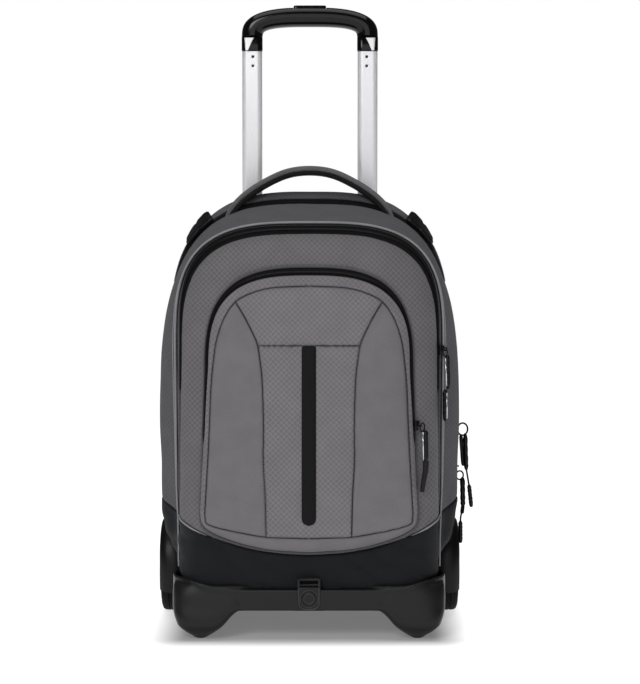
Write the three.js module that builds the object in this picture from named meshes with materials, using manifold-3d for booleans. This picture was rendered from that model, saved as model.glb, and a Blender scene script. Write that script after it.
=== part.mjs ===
// A wheeled school backpack standing on its trolley: a soft bag with a front pocket, on a moulded
// base with two front feet, two wheels and a telescopic handle. Millimetres, +Z up, front faces -Y.
import * as THREE from "three";
import { mergeVertices } from "three/addons/utils/BufferGeometryUtils.js";
import Module from "manifold-3d";

const wasm = await Module();
wasm.setup();

// Bag sizes
const BAG_WIDTH = 357.5;
const BAG_HEIGHT = 456;
const BAG_DEPTH = 142;
const BAG_BOTTOM = 58;
const BACK_FACE = 72;
const LOW_BULGE = 30;
const CLOTH = 2;
const GAP = 0.3;
const FACET_SLACK = 0.2;

// Lower edge of the grey cloth, which dips towards the middle
const HEM_MIDDLE = 96;
const HEM_RISE = 54;
const HEM_POWER = 2.1;

// Front pocket sizes
const POCKET_WIDTH = 252;
const POCKET_HEIGHT = 330;
const POCKET_DEPTH = 34;
const POCKET_ROOT = 134;

// Zips, piping and the front stripe
const ZIP_WIDTH = 7;
const ZIP_SINK = 0.6;
const ZIP_THICK = 1.4;
const REAR_ZIP_DEPTH = 31;
const REAR_ZIP_END = 150;
const MAIN_ZIP_DEPTH = 109;
const MAIN_ZIP_END = 281;
const POCKET_ZIP_REACH = 13;
const POCKET_ZIP_WIDTH = 4.4;
const POCKET_ZIP_END = 228;
const POCKET_RIM_END = 150;
const PIPING_RADIUS = 1.9;
const STRIPE_WIDTH = 15;
const STRIPE_TOP = 333;
const STRIPE_BOTTOM = 133;
const STRIPE_THICK = 1.3;

// Trolley base and feet
const BASE_WIDTH = 314;
const BASE_FRONT = 108;
const BASE_CORNER = 45;
const BASE_WALL = 3.5;
const BAR_BOTTOM = 33.5;
const FLOOR_THICK = 4;
const FOOT_HEIGHT = 52;
const REAR_WALL_TOP = 96;
const REAR_WALL_THICK = 4;
const RIB_HEIGHT = 14;
const SOCKET_SEAT = 8;

// Wheels and their housings
const WHEEL_RADIUS = 48;
const WHEEL_ROOM = 1;
const WHEEL_DEPTH = 69;
const RIM_RADIUS = 34;
const AXLE_RADIUS = 4;
const AXLE_PLAY = 0.3;
const HOUSING_INNER = 150;
const HOUSING_WIDTH = 31;
const HOUSING_OUTER = HOUSING_INNER + HOUSING_WIDTH;
const HOUSING_HALF_DEPTH = 57;
const HOUSING_TOP = 117;
const HOUSING_WALL = 3;
const HOUSING_LOW = 31;
const WINDOW_RADIUS = 41;
const WHEEL_WIDTH = HOUSING_WIDTH - 2 * (HOUSING_WALL + WHEEL_ROOM);

// Straps and buckles
const HANDLE_THICK = 11;
const HANDLE_WIDTH = 22;
const STRAP_WIDTH = 54;
const STRAP_THICK = 8;
const PAD_THICK = 5;
const WEBBING_WIDTH = 25;
const WEBBING_THICK = 1.8;
const ADJUSTER_THICK = 3.6;

// Telescopic handle
const TUBE_SPACING = 142.6;
const INNER_TUBE = { wide: 24.5, deep: 14, wall: 1.5 };
const OUTER_TUBE = { wide: 30, deep: 20, wall: 1.6 };
const STRAP_ROOM = 5;
const TUBE_DEPTH = BACK_FACE + PAD_THICK + STRAP_THICK + STRAP_ROOM + OUTER_TUBE.deep / 2;
const TUBE_TOP = 688;
const TUBE_LENGTH = 440;
const BRIDGE_TOP = BAG_BOTTOM + BAG_HEIGHT - 10;
const BRIDGE_HEIGHT = 28;
const SOCKET_DEPTH = 12;
const COLLAR_HEIGHT = 18.3;
const GRIP_RISE = 35.7;
const GRIP_TOP = TUBE_TOP + COLLAR_HEIGHT + GRIP_RISE;
const GRIP_BAR = 24;
const GRIP_DEPTH = 26;
const GRIP_ROUND = { outer: 2.75, inner: 3 };
const SPIGOT_LENGTH = 26;
const BUTTON = { wide: 40, deep: 17, rise: 1.5, seat: 7 };
const SLIDE_PLAY = 0.35;
const DIMPLE = { radius: 1.9, deep: 1.1, aside: 1.2, drops: [7, 18.2] };

// Latch in the middle of the front bar
const LATCH = { wide: 26, bottom: 34.7, top: 61, middle: 48, seat: 4, proud: 1.2, button: 8.2 };
const YOKE = { high: 9.5, deep: 6.5, wire: 2.6 };

// Makes a list of rows into objects with named columns.
const table = (columns, rows) =>
  rows.map((row) => Object.fromEntries(columns.map((name, i) => [name, row[i]])));

// Sections of the bag from the back panel forward. depth is a share of BAG_DEPTH, half and lowHalf of
// half of BAG_WIDTH, and top, spring and corner of BAG_HEIGHT. round and lowRound are exponents.
const BAG_SECTIONS = table(
  ["depth", "half", "top", "spring", "round", "lowHalf", "corner", "lowRound"],
  [
    [0.0, 0.79, 0.955, 0.596, 2.9, 0.76, 0.27, 3.6],
    [0.021, 0.855, 0.984, 0.596, 3.0, 0.83, 0.28, 4.0],
    [0.085, 0.891, 1.0, 0.596, 3.1, 0.88, 0.29, 4.2],
    [0.18, 0.935, 0.984, 0.56, 3.0, 0.93, 0.29, 4.2],
    [0.218, 0.956, 0.973, 0.531, 3.0, 0.95, 0.29, 4.2],
    [0.366, 1.0, 0.952, 0.377, 3.2, 0.992, 0.29, 4.2],
    [0.542, 0.989, 0.935, 0.377, 3.2, 0.975, 0.28, 4.2],
    [0.683, 0.925, 0.92, 0.487, 3.3, 0.875, 0.14, 4.6],
    [0.739, 0.86, 0.908, 0.596, 3.25, 0.853, 0.1, 5.0],
    [0.796, 0.8265, 0.885, 0.586, 3.2, 0.842, 0.1, 5.0],
    [0.873, 0.802, 0.874, 0.58, 3.1, 0.83, 0.1, 5.0],
    [0.944, 0.747, 0.852, 0.575, 3.0, 0.79, 0.1, 4.6],
    [0.986, 0.67, 0.82, 0.57, 2.9, 0.73, 0.1, 4.2],
    [1.0, 0.56, 0.775, 0.56, 2.8, 0.63, 0.1, 4.0],
  ],
);

// Sections of the pocket from its root forward. reach is a share of POCKET_DEPTH, half and lowHalf of
// half of POCKET_WIDTH, and top, spring, corner, base and rise of POCKET_HEIGHT.
const POCKET_SECTIONS = table(
  ["reach", "half", "top", "spring", "round", "lowHalf", "corner", "base", "rise", "lowRound"],
  [
    [0.0, 0.96, 1.0, 0.62, 2.9, 0.995, 0.15, 0.0, 0.075, 7],
    [0.24, 0.955, 0.997, 0.63, 2.9, 0.99, 0.15, 0.0, 0.075, 7],
    [0.38, 0.928, 0.973, 0.64, 2.9, 0.98, 0.16, 0.008, 0.075, 7],
    [0.55, 0.89, 0.95, 0.66, 2.85, 0.966, 0.17, 0.02, 0.072, 6],
    [0.8, 0.81, 0.922, 0.69, 2.75, 0.937, 0.19, 0.064, 0.064, 6],
    [0.9, 0.73, 0.88, 0.68, 2.6, 0.86, 0.22, 0.11, 0.06, 5],
    [0.97, 0.55, 0.78, 0.6, 2.4, 0.66, 0.3, 0.2, 0.04, 3.5],
    [1.0, 0.3, 0.62, 0.5, 2.2, 0.36, 0.36, 0.32, 0.02, 2.4],
  ],
);

// Top edge of the base's wall, half of it: along is a share of half of BASE_WIDTH, which past 1 runs
// back along the side, and top is a share of the bar's height, above the bag's bottom.
const BASE_EDGE = table(
  ["along", "top"],
  [
    [0.0, 0.0],
    [0.54, 0.0],
    [0.66, 0.12],
    [0.8, 0.32],
    [0.88, 0.42],
    [0.95, 0.5],
    [1.0, 0.5],
    [1.5, -0.1],
  ],
);

// One foot from the floor up. height is a share of FOOT_HEIGHT; inner and outer are shares of half of
// BASE_WIDTH; front and back are shares of BASE_FRONT.
const FOOT_SECTIONS = table(
  ["height", "inner", "outer", "front", "back"],
  [
    [0.0, 0.74, 0.82, 0.885, 0.79],
    [0.03, 0.715, 0.855, 0.915, 0.76],
    [0.12, 0.685, 0.9, 0.96, 0.71],
    [0.27, 0.64, 0.945, 1.0, 0.66],
    [0.45, 0.585, 0.972, 1.025, 0.62],
    [0.64, 0.54, 0.99, 1.035, 0.6],
    [1.0, 0.485, 1.0, 1.03, 0.58],
  ],
);

// Any geometry becomes a closed solid once its shared corners are merged.
function solidOf(geometry) {
  const bare = new THREE.BufferGeometry();
  const source = geometry.index ? geometry.toNonIndexed() : geometry;
  bare.setAttribute("position", source.getAttribute("position"));
  const merged = mergeVertices(bare, 1e-4);
  const corners = merged.attributes.position.array;
  const triangles = new Uint32Array(merged.index.array);
  return new wasm.Manifold(
    new wasm.Mesh({ numProp: 3, vertProperties: corners, triVerts: triangles }),
  );
}

// A solid goes back to three.js as an indexed geometry.
function geometryOf(solid) {
  const mesh = solid.getMesh();
  const geometry = new THREE.BufferGeometry();
  geometry.setAttribute("position", new THREE.BufferAttribute(new Float32Array(mesh.vertProperties), 3));
  geometry.setIndex(Array.from(mesh.triVerts));
  geometry.computeVertexNormals();
  return geometry;
}

const acrossBag = new THREE.Vector3(1, 0, 0);
const acrossDepth = new THREE.Vector3(0, 1, 0);
const unite = (...solids) => solids.reduce((a, b) => a.add(b));

// Joins a row of rings, each with as many points, into one closed solid with flat ends.
function loft(rings) {
  const count = rings[0].length;
  const points = rings.flat();
  const faces = [];
  for (let r = 0; r + 1 < rings.length; r++)
    for (let i = 0; i < count; i++) {
      const j = (i + 1) % count;
      const [a, b, c, d] = [r * count + i, r * count + j, (r + 1) * count + j, (r + 1) * count + i];
      faces.push([a, b, c], [a, c, d]);
    }
  const middle = (ring) => {
    const sum = new THREE.Vector3();
    ring.forEach((p) => sum.add(p));
    return sum.divideScalar(ring.length);
  };
  const last = (rings.length - 1) * count;
  const first = points.push(middle(rings[0])) - 1;
  const end = points.push(middle(rings[rings.length - 1])) - 1;
  for (let i = 0; i < count; i++) {
    const j = (i + 1) % count;
    faces.push([first, j, i], [end, last + i, last + j]);
  }
  return closed(points, faces);
}

// Builds a solid from points and faces, turning the faces round where they point in.
function closed(points, faces) {
  let volume = 0;
  for (const [a, b, c] of faces)
    volume += points[a].dot(new THREE.Vector3().crossVectors(points[b], points[c]));
  const order = volume < 0 ? faces.map(([a, b, c]) => [a, c, b]) : faces;
  const geometry = new THREE.BufferGeometry();
  geometry.setFromPoints(points);
  geometry.setIndex(order.flat());
  return solidOf(geometry);
}

// Sweeps a flat profile of [across, out] pairs along a path. across is the strap's width direction,
// one vector or one for each point of the path.
function sweep(path, profile, across) {
  const rings = path.map((point, i) => {
    const before = path[Math.max(i - 1, 0)];
    const after = path[Math.min(i + 1, path.length - 1)];
    const along = new THREE.Vector3().subVectors(after, before).normalize();
    const wide = (Array.isArray(across) ? across[i] : across).clone();
    const out = new THREE.Vector3().crossVectors(along, wide).normalize();
    wide.crossVectors(out, along).normalize();
    const shape = typeof profile === "function" ? profile(i / (path.length - 1)) : profile;
    return shape.map(([a, b]) => point.clone().addScaledVector(wide, a).addScaledVector(out, b));
  });
  return loft(rings);
}

// Profiles: a circle, and a rectangle with cut corners.
const circle = (radius, sides, turn = 0) =>
  Array.from({ length: sides }, (_, i) => {
    const angle = (2 * Math.PI * (i + turn)) / sides;
    return [radius * Math.cos(angle), radius * Math.sin(angle)];
  });

function cutRectangle(wide, thick, cut) {
  const [x, y] = [wide / 2, thick / 2];
  return [
    [x, -y + cut],
    [x, y - cut],
    [x - cut, y],
    [-x + cut, y],
    [-x, y - cut],
    [-x, -y + cut],
    [-x + cut, -y],
    [x - cut, -y],
  ];
}

// A smooth run through a few chosen points.
function smooth(points, steps) {
  const curve = new THREE.CatmullRomCurve3(points, false, "centripetal");
  return curve.getPoints(steps);
}

// Extrudes a shape drawn in the XZ plane along +Y from a start depth.
function extrudeDeep(shape, from, to, curveSegments = 8) {
  const geometry = new THREE.ExtrudeGeometry(shape, { depth: to - from, bevelEnabled: false, curveSegments });
  geometry.rotateX(Math.PI / 2);
  geometry.translate(0, to, 0);
  return solidOf(geometry);
}

function block(x0, x1, y0, y1, z0, z1) {
  const geometry = new THREE.BoxGeometry(x1 - x0, y1 - y0, z1 - z0);
  geometry.translate((x0 + x1) / 2, (y0 + y1) / 2, (z0 + z1) / 2);
  return solidOf(geometry);
}

function roundedRectangle(wide, high, radius) {
  const [x, y] = [wide / 2, high / 2];
  const shape = new THREE.Shape();
  shape.moveTo(-x + radius, -y);
  shape.lineTo(x - radius, -y);
  shape.absarc(x - radius, -y + radius, radius, -Math.PI / 2, 0);
  shape.lineTo(x, y - radius);
  shape.absarc(x - radius, y - radius, radius, 0, Math.PI / 2);
  shape.lineTo(-x + radius, y);
  shape.absarc(-x + radius, y - radius, radius, Math.PI / 2, Math.PI);
  shape.lineTo(-x, -y + radius);
  shape.absarc(-x + radius, -y + radius, radius, Math.PI, 1.5 * Math.PI);
  return shape;
}

// A tube or bar of rounded section standing on z0.
function column(x, y, z0, z1, wide, deep, radius, segments = 2) {
  const geometry = new THREE.ExtrudeGeometry(roundedRectangle(wide, deep, radius), {
    depth: z1 - z0,
    bevelEnabled: false,
    curveSegments: segments,
  });
  geometry.translate(x, y, z0);
  return solidOf(geometry);
}

function cylinderAlong(axis, radius, length, centre, sides = 16) {
  const geometry = new THREE.CylinderGeometry(radius, radius, length, sides);
  if (axis === "x") geometry.rotateZ(Math.PI / 2);
  if (axis === "z") geometry.rotateX(Math.PI / 2);
  geometry.translate(...centre);
  return solidOf(geometry);
}

// How far forward a point of the bag's front stands because the bag is deeper lower down.
const bagShare = (z) => 1 - (z - BAG_BOTTOM) / BAG_HEIGHT;
const bagDepthAt = (share, z) =>
  BACK_FACE - share * BAG_DEPTH - LOW_BULGE * Math.min(share, 1) ** 3 * bagShare(z);

// The closed outline of one section, seen from the front, from the right side over the top.
const FINE = { top: 6, low: 5 };
const COARSE = { top: 4, low: 3 };
function outline(s, steps = FINE) {
  const upper = [];
  for (let i = 0; i <= 2 * steps.top; i++) {
    const angle = (i / steps.top) * (Math.PI / 2);
    const [c, k] = [Math.cos(angle), Math.sin(angle)];
    const x = Math.sign(c) * s.half * Math.abs(c) ** (2 / s.round);
    upper.push([Math.abs(c) < 1e-9 ? 0 : x, s.spring + (s.top - s.spring) * Math.abs(k) ** (2 / s.round)]);
  }
  const lower = [];
  for (let i = 0; i <= 2 * steps.low; i++) {
    const angle = (i / steps.low) * (Math.PI / 2);
    const [c, k] = [-Math.cos(angle), Math.sin(angle)];
    const x = Math.abs(c) < 1e-9 ? 0 : Math.sign(c) * s.lowHalf * Math.abs(c) ** (2 / s.lowRound);
    const floor = s.base + s.rise * (x / s.lowHalf) ** 2;
    lower.push([x, s.corner - (s.corner - floor) * Math.abs(k) ** (2 / s.lowRound)]);
  }
  return [...upper, ...lower];
}

// How much of a move square to the surface goes outward and how much forward, at each section.
function facings(rows, key, depth, half) {
  return rows.map((row, i) => {
    const before = rows[Math.max(i - 1, 0)];
    const after = rows[Math.min(i + 1, rows.length - 1)];
    const run = (after[key] - before[key]) * depth;
    const fall = (before.half - after.half) * half;
    const long = Math.hypot(run, fall);
    return { out: run / long, forward: fall / long };
  });
}

// Real sizes of one section of the bag, moved out by grow and down by low.
function bagSection(row, grow = 0, low = grow) {
  const half = BAG_WIDTH / 2;
  return {
    half: row.half * half + grow,
    lowHalf: row.lowHalf * half + grow,
    top: BAG_BOTTOM + row.top * BAG_HEIGHT + grow,
    spring: BAG_BOTTOM + row.spring * BAG_HEIGHT,
    corner: BAG_BOTTOM + row.corner * BAG_HEIGHT,
    base: BAG_BOTTOM - low,
    rise: 0,
    round: row.round,
    lowRound: row.lowRound,
  };
}

function pocketSection(row, grow = 0) {
  const half = POCKET_WIDTH / 2;
  return {
    half: row.half * half + grow,
    lowHalf: row.lowHalf * half + grow,
    top: HEM_MIDDLE + row.top * POCKET_HEIGHT + grow,
    spring: HEM_MIDDLE + row.spring * POCKET_HEIGHT,
    corner: HEM_MIDDLE + row.corner * POCKET_HEIGHT,
    base: HEM_MIDDLE + row.base * POCKET_HEIGHT - grow,
    rise: row.rise * POCKET_HEIGHT,
    round: row.round,
    lowRound: row.lowRound,
  };
}

// A section between two rows of a table, for pieces that follow the surface at a given place.
function rowAt(rows, key, share) {
  const next = Math.max(1, rows.findIndex((row) => row[key] >= share));
  const [a, b] = [rows[next - 1], rows[next]];
  const part = (share - a[key]) / (b[key] - a[key]);
  return Object.fromEntries(Object.keys(a).map((name) => [name, a[name] + (b[name] - a[name]) * part]));
}

// The whole bag and the whole pocket as plain solids, moved out by grow.
function bagSolid(grow, steps = FINE) {
  const turns = facings(BAG_SECTIONS, "depth", BAG_DEPTH, BAG_WIDTH / 2);
  const rings = BAG_SECTIONS.map((row, i) =>
    outline(bagSection(row, grow * turns[i].out, grow), steps).map(
      ([x, z]) => new THREE.Vector3(x, bagDepthAt(row.depth, z) - grow * turns[i].forward, z),
    ),
  );
  return loft(rings);
}

const pocketDepthAt = (reach, z) =>
  BACK_FACE - POCKET_ROOT - reach * POCKET_DEPTH - LOW_BULGE * bagShare(z);

function pocketSolid(grow, steps = FINE) {
  const turns = facings(POCKET_SECTIONS, "reach", POCKET_DEPTH, POCKET_WIDTH / 2);
  const rings = POCKET_SECTIONS.map((row, i) =>
    outline(pocketSection(row, grow * turns[i].out), steps).map(
      ([x, z]) => new THREE.Vector3(x, pocketDepthAt(row.reach, z) - grow * turns[i].forward, z),
    ),
  );
  return loft(rings);
}

// A slab across the bag that follows its slanted seams, between two depths in mm from the back face.
function slab(from, to, low = 0, high = 800) {
  const lean = (depth, z) =>
    BACK_FACE - depth - LOW_BULGE * Math.min(Math.max(depth, 0) / BAG_DEPTH, 1) ** 3 * bagShare(z);
  const ring = (x) => [
    new THREE.Vector3(x, lean(from, low), low),
    new THREE.Vector3(x, lean(from, high), high),
    new THREE.Vector3(x, lean(to, high), high),
    new THREE.Vector3(x, lean(to, low), low),
  ];
  return loft([ring(-300), ring(300)]);
}

// The same for the pocket, between two distances in mm from its root.
function pocketSlab(from, to, low, high) {
  const ring = (x) => [
    new THREE.Vector3(x, pocketDepthAt(from / POCKET_DEPTH, low), low),
    new THREE.Vector3(x, pocketDepthAt(from / POCKET_DEPTH, high), high),
    new THREE.Vector3(x, pocketDepthAt(to / POCKET_DEPTH, high), high),
    new THREE.Vector3(x, pocketDepthAt(to / POCKET_DEPTH, low), low),
  ];
  return loft([ring(-300), ring(300)]);
}

// Everything below the hem, lowered by drop.
function belowHem(drop) {
  const shape = new THREE.Shape();
  const half = BAG_WIDTH / 2;
  shape.moveTo(-1.5 * half, 0);
  shape.lineTo(1.5 * half, 0);
  for (let i = 0; i <= 14; i++) {
    const x = 1.5 * half * (1 - i / 7);
    shape.lineTo(x, HEM_MIDDLE - drop + HEM_RISE * Math.abs(x / half) ** HEM_POWER);
  }
  return extrudeDeep(shape, -400, 400);
}

// Wheel housing seen from the side: half an oval over the wheel, moved out by grow.
function housingArch(x, grow, low, steps = 14) {
  const points = [];
  const rise = HOUSING_TOP - WHEEL_RADIUS + grow;
  const deep = HOUSING_HALF_DEPTH + grow;
  for (let i = 0; i <= steps; i++) {
    const angle = (i / steps) * Math.PI;
    const [c, s] = [Math.cos(angle), Math.sin(angle)];
    const y = WHEEL_DEPTH + Math.sign(c) * deep * Math.abs(c) ** (2 / 2.3);
    points.push(new THREE.Vector3(x, y, WHEEL_RADIUS + rise * s ** (2 / 2.3)));
  }
  points.push(new THREE.Vector3(x, WHEEL_DEPTH - deep, low), new THREE.Vector3(x, WHEEL_DEPTH + deep, low));
  return points;
}

// Outside of a housing with its outer edge rounded, for the side given by sign.
function housingSolid(sign, grow = 0) {
  const stations = [
    [HOUSING_INNER - grow, 0],
    [HOUSING_OUTER - 9, 0],
    [HOUSING_OUTER - 4, -1.6],
    [HOUSING_OUTER - 1.2, -4.4],
    [HOUSING_OUTER + grow, -8],
  ];
  return loft(stations.map(([x, inset]) => housingArch(sign * x, grow + inset, HOUSING_LOW - grow)));
}

// Keeps the bag's cloth clear of both wheel housings.
function housingRoom(grow) {
  const room = (sign) =>
    loft([
      housingArch(sign * (HOUSING_INNER - grow), grow, -20, 10),
      housingArch(sign * (HOUSING_OUTER + 40), grow, -20, 10),
    ]);
  return unite(room(1), room(-1));
}

// Soft bag, with its cloth kept clear of the wheel housings
const HOUSING_CLEAR = 1.2;
const bagFull = bagSolid(0).subtract(housingRoom(HOUSING_CLEAR));
const bagHollow = bagSolid(-CLOTH, COARSE).subtract(housingRoom(HOUSING_CLEAR + CLOTH));
const bagShell = bagFull.subtract(bagHollow);
const KERF = GAP / 2;
const bagUpper = bagShell.subtract(belowHem(-KERF));

const zipSlot = (depth, width, end) => slab(depth - width / 2, depth + width / 2, end, 800);
const rearSlot = zipSlot(REAR_ZIP_DEPTH, ZIP_WIDTH, REAR_ZIP_END);
const mainSlot = zipSlot(MAIN_ZIP_DEPTH, ZIP_WIDTH, MAIN_ZIP_END);
const rearCompartment = bagUpper.intersect(slab(-60, REAR_ZIP_DEPTH - KERF)).subtract(rearSlot);
const mainGusset = bagUpper
  .intersect(slab(REAR_ZIP_DEPTH + KERF, MAIN_ZIP_DEPTH - KERF))
  .subtract(rearSlot)
  .subtract(mainSlot);
const frontCompartment = bagUpper.intersect(slab(MAIN_ZIP_DEPTH + KERF, 260)).subtract(mainSlot);
const boot = bagShell.intersect(belowHem(KERF));

// Zip tapes lie a little below the cloth, in their slots.
const tapeShell = bagSolid(-ZIP_SINK).subtract(bagSolid(-ZIP_SINK - ZIP_THICK));
const zipTape = (depth, end) =>
  tapeShell.intersect(slab(depth - ZIP_WIDTH / 2 + GAP, depth + ZIP_WIDTH / 2 - GAP, end + GAP, 800));
const rearZip = zipTape(REAR_ZIP_DEPTH, REAR_ZIP_END);
const mainZip = zipTape(MAIN_ZIP_DEPTH, MAIN_ZIP_END);

// Front pocket, seated on the front compartment's face
const pocketShell = pocketSolid(0).subtract(pocketSolid(-CLOTH, COARSE)).subtract(bagSolid(GAP));
const pocketSlot = pocketSlab(
  POCKET_ZIP_REACH - POCKET_ZIP_WIDTH / 2,
  POCKET_ZIP_REACH + POCKET_ZIP_WIDTH / 2,
  POCKET_ZIP_END,
  800,
);
const pocketRim = pocketShell
  .intersect(pocketSlab(-20, POCKET_ZIP_REACH - KERF, POCKET_RIM_END + KERF, 800))
  .subtract(pocketSlot);
const pocketFront = pocketShell
  .subtract(pocketSlab(-30, POCKET_ZIP_REACH + KERF, POCKET_RIM_END - KERF, 800))
  .subtract(pocketSlot);
const pocketZip = pocketSolid(-ZIP_SINK)
  .subtract(pocketSolid(-ZIP_SINK - ZIP_THICK))
  .subtract(bagSolid(GAP))
  .intersect(
    pocketSlab(
      POCKET_ZIP_REACH - POCKET_ZIP_WIDTH / 2 + GAP,
      POCKET_ZIP_REACH + POCKET_ZIP_WIDTH / 2 - GAP,
      POCKET_ZIP_END + GAP,
      800,
    ),
  );

// Dark stripe down the middle of the pocket, with a round lower end
function stripe() {
  const half = STRIPE_WIDTH / 2;
  const shape = new THREE.Shape();
  shape.moveTo(half, STRIPE_TOP);
  shape.lineTo(-half, STRIPE_TOP);
  shape.lineTo(-half, STRIPE_BOTTOM + half);
  shape.absarc(0, STRIPE_BOTTOM + half, half, Math.PI, 2 * Math.PI);
  shape.lineTo(half, STRIPE_TOP);
  const rows = POCKET_SECTIONS.filter((row) => row.reach > 0.5);
  const point = (row, edge) => {
    const z = HEM_MIDDLE + row[edge] * POCKET_HEIGHT;
    return new THREE.Vector3(0, pocketDepthAt(row.reach, z), z);
  };
  const up = rows.map((row) => point(row, "base"));
  const down = rows.map((row) => point(row, "top")).reverse();
  const profile = cutRectangle(STRIPE_WIDTH + 1, 2 * (GAP + STRIPE_THICK), 0.2);
  const band = sweep([...up, ...down], profile, acrossBag);
  return band.intersect(extrudeDeep(shape, -200, 0)).subtract(pocketSolid(GAP));
}

// Where a section's right edge stands at height z.
function edgeAt(s, z) {
  if (z >= s.spring) {
    const share = Math.min((z - s.spring) / (s.top - s.spring), 1);
    return s.half * (1 - share ** s.round) ** (1 / s.round);
  }
  if (z >= s.corner) return s.lowHalf + ((s.half - s.lowHalf) * (z - s.corner)) / (s.spring - s.corner);
  const share = Math.min((s.corner - z) / (s.corner - s.base), 1);
  return s.lowHalf * (1 - share ** s.lowRound) ** (1 / s.lowRound);
}

// Piping along the front edge of the main gusset, from the base over the top and down again
function piping() {
  const depth = (MAIN_ZIP_DEPTH - ZIP_WIDTH / 2 - PIPING_RADIUS) / BAG_DEPTH;
  const row = rowAt(BAG_SECTIONS, "depth", depth);
  const s = bagSection(row, PIPING_RADIUS + GAP);
  const low = BAG_BOTTOM + 22;
  const side = [];
  for (let i = 0; i < 12; i++) {
    const z = low + ((s.spring - low) * i) / 12;
    side.push([edgeAt(s, z), z]);
  }
  const over = outline(s).slice(0, 2 * FINE.top + 1);
  const left = side.map(([x, z]) => [-x, z]).reverse();
  const path = [...side, ...over, ...left].map(([x, z]) => new THREE.Vector3(x, bagDepthAt(depth, z), z));
  return sweep(path, circle(PIPING_RADIUS, 5), acrossDepth).subtract(bagSolid(GAP));
}

// A point given as shares of half of the bag's width and of its height, at a depth in mm
const onBack = (across, height, depth) =>
  new THREE.Vector3((across * BAG_WIDTH) / 2, depth, BAG_BOTTOM + height * BAG_HEIGHT);

// Padded carrying handle, sewn in front of the rear compartment's top. Half of it, from its root up:
// across is a share of half of BAG_WIDTH, depth of BAG_DEPTH and height of BAG_HEIGHT.
const HANDLE_ROUTE = table(
  ["across", "depth", "height"],
  [
    [0.5538, 0.2042, 0.9211],
    [0.5147, 0.1972, 0.9507],
    [0.442, 0.1831, 0.9825],
    [0.3133, 0.162, 1.0175],
    [0.1566, 0.1479, 1.0461],
    [0, 0.1444, 1.0544],
  ],
);
function grabHandle() {
  const right = HANDLE_ROUTE.map((p) => onBack(p.across, p.height, BACK_FACE - p.depth * BAG_DEPTH));
  const left = right.slice(0, -1).map((p) => new THREE.Vector3(-p.x, p.y, p.z));
  const path = smooth([...right, ...left.reverse()], 16);
  const strap = sweep(path, cutRectangle(HANDLE_WIDTH, HANDLE_THICK, 2), acrossDepth);
  return strap.subtract(bagSolid(GAP));
}

// Flat pads sewn to the back panel. across and wide are shares of half of BAG_WIDTH, up and high of
// BAG_HEIGHT.
const BACK_PADS = table(
  ["name", "across", "up", "wide", "high"],
  [
    ["back_pad_top", 0, 0.7675, 1.063, 0.2018],
    ["back_pad_left", -0.3357, 0.4474, 0.5594, 0.386],
    ["back_pad_right", 0.3357, 0.4474, 0.5594, 0.386],
  ],
);
function backPad(pad) {
  const middle = onBack(pad.across, pad.up, BACK_FACE + GAP);
  const [wide, high] = [(pad.wide * BAG_WIDTH) / 2, pad.high * BAG_HEIGHT];
  const rings = [
    [0, 0],
    [0.6, 0],
    [1, -5],
  ].map(([share, inset]) => {
    const shape = roundedRectangle(wide + 2 * inset, high + 2 * inset, 18 + inset);
    return shape
      .getPoints(2)
      .slice(0, -1)
      .map((p) => new THREE.Vector3(middle.x + p.x, middle.y + share * PAD_THICK, middle.z + p.y));
  });
  return loft(rings);
}

// Shoulder straps lie between the back pads and the handle's tubes. Each point of a route is a share of
// half of BAG_WIDTH and of BAG_HEIGHT.
const STRAP_DEPTH = BACK_FACE + PAD_THICK + 2 * GAP + STRAP_THICK / 2;
const STRAP_ROUTE = [
  [0.235, 0.8947],
  [0.2797, 0.7719],
  [0.3469, 0.6294],
  [0.4364, 0.4868],
  [0.5018, 0.3675],
];
function shoulderStrap(sign) {
  const path = smooth(
    STRAP_ROUTE.map(([across, height]) => onBack(sign * across, height, STRAP_DEPTH)),
    12,
  );
  const profile = (share) => {
    const wide = STRAP_WIDTH * (1 - 0.22 * Math.max(0, share - 0.6) / 0.4);
    return cutRectangle(wide, STRAP_THICK, 2.4);
  };
  const across = path.map((p, i) => {
    const next = path[Math.min(i + 1, path.length - 1)];
    const before = path[Math.max(i - 1, 0)];
    return new THREE.Vector3(next.z - before.z, 0, before.x - next.x).normalize();
  });
  return sweep(path, profile, across);
}

// Adjuster under each shoulder strap: a frame with a middle bar
const ADJUSTER_PLACE = [0.5287, 0.3432];
function adjuster(sign) {
  const plate = column(0, 0, -ADJUSTER_THICK / 2, ADJUSTER_THICK / 2, WEBBING_WIDTH + 8, 20, 3);
  const slot = (y) => block(-WEBBING_WIDTH / 2 - 0.6, WEBBING_WIDTH / 2 + 0.6, y - 2.4, y + 2.4, -4, 4);
  const frame = plate.subtract(slot(-4.6)).subtract(slot(4.6));
  const geometry = geometryOf(frame);
  geometry.rotateX(Math.PI / 2);
  geometry.rotateY(sign * -0.28);
  geometry.translate(...onBack(sign * ADJUSTER_PLACE[0], ADJUSTER_PLACE[1], STRAP_DEPTH).toArray());
  return solidOf(geometry);
}

// Webbing from each adjuster down to the bag's lower corner
function strapWebbing(sign) {
  const back = BACK_FACE + GAP + WEBBING_THICK / 2;
  const behind = STRAP_DEPTH - ADJUSTER_THICK / 2 - GAP - WEBBING_THICK / 2;
  const route = [
    [0.5315, 0.3399, behind],
    [0.5483, 0.318, behind],
    [0.5818, 0.2588, STRAP_DEPTH - 3],
    [0.6266, 0.1974, STRAP_DEPTH - 6.5],
    [0.6713, 0.1447, back],
    [0.6937, 0.1096, back],
  ];
  const path = smooth(
    route.map(([across, height, depth]) => onBack(sign * across, height, depth)),
    10,
  );
  return sweep(path, cutRectangle(WEBBING_WIDTH, WEBBING_THICK, 0.5), new THREE.Vector3(1, 0, sign * 0.28));
}

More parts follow.
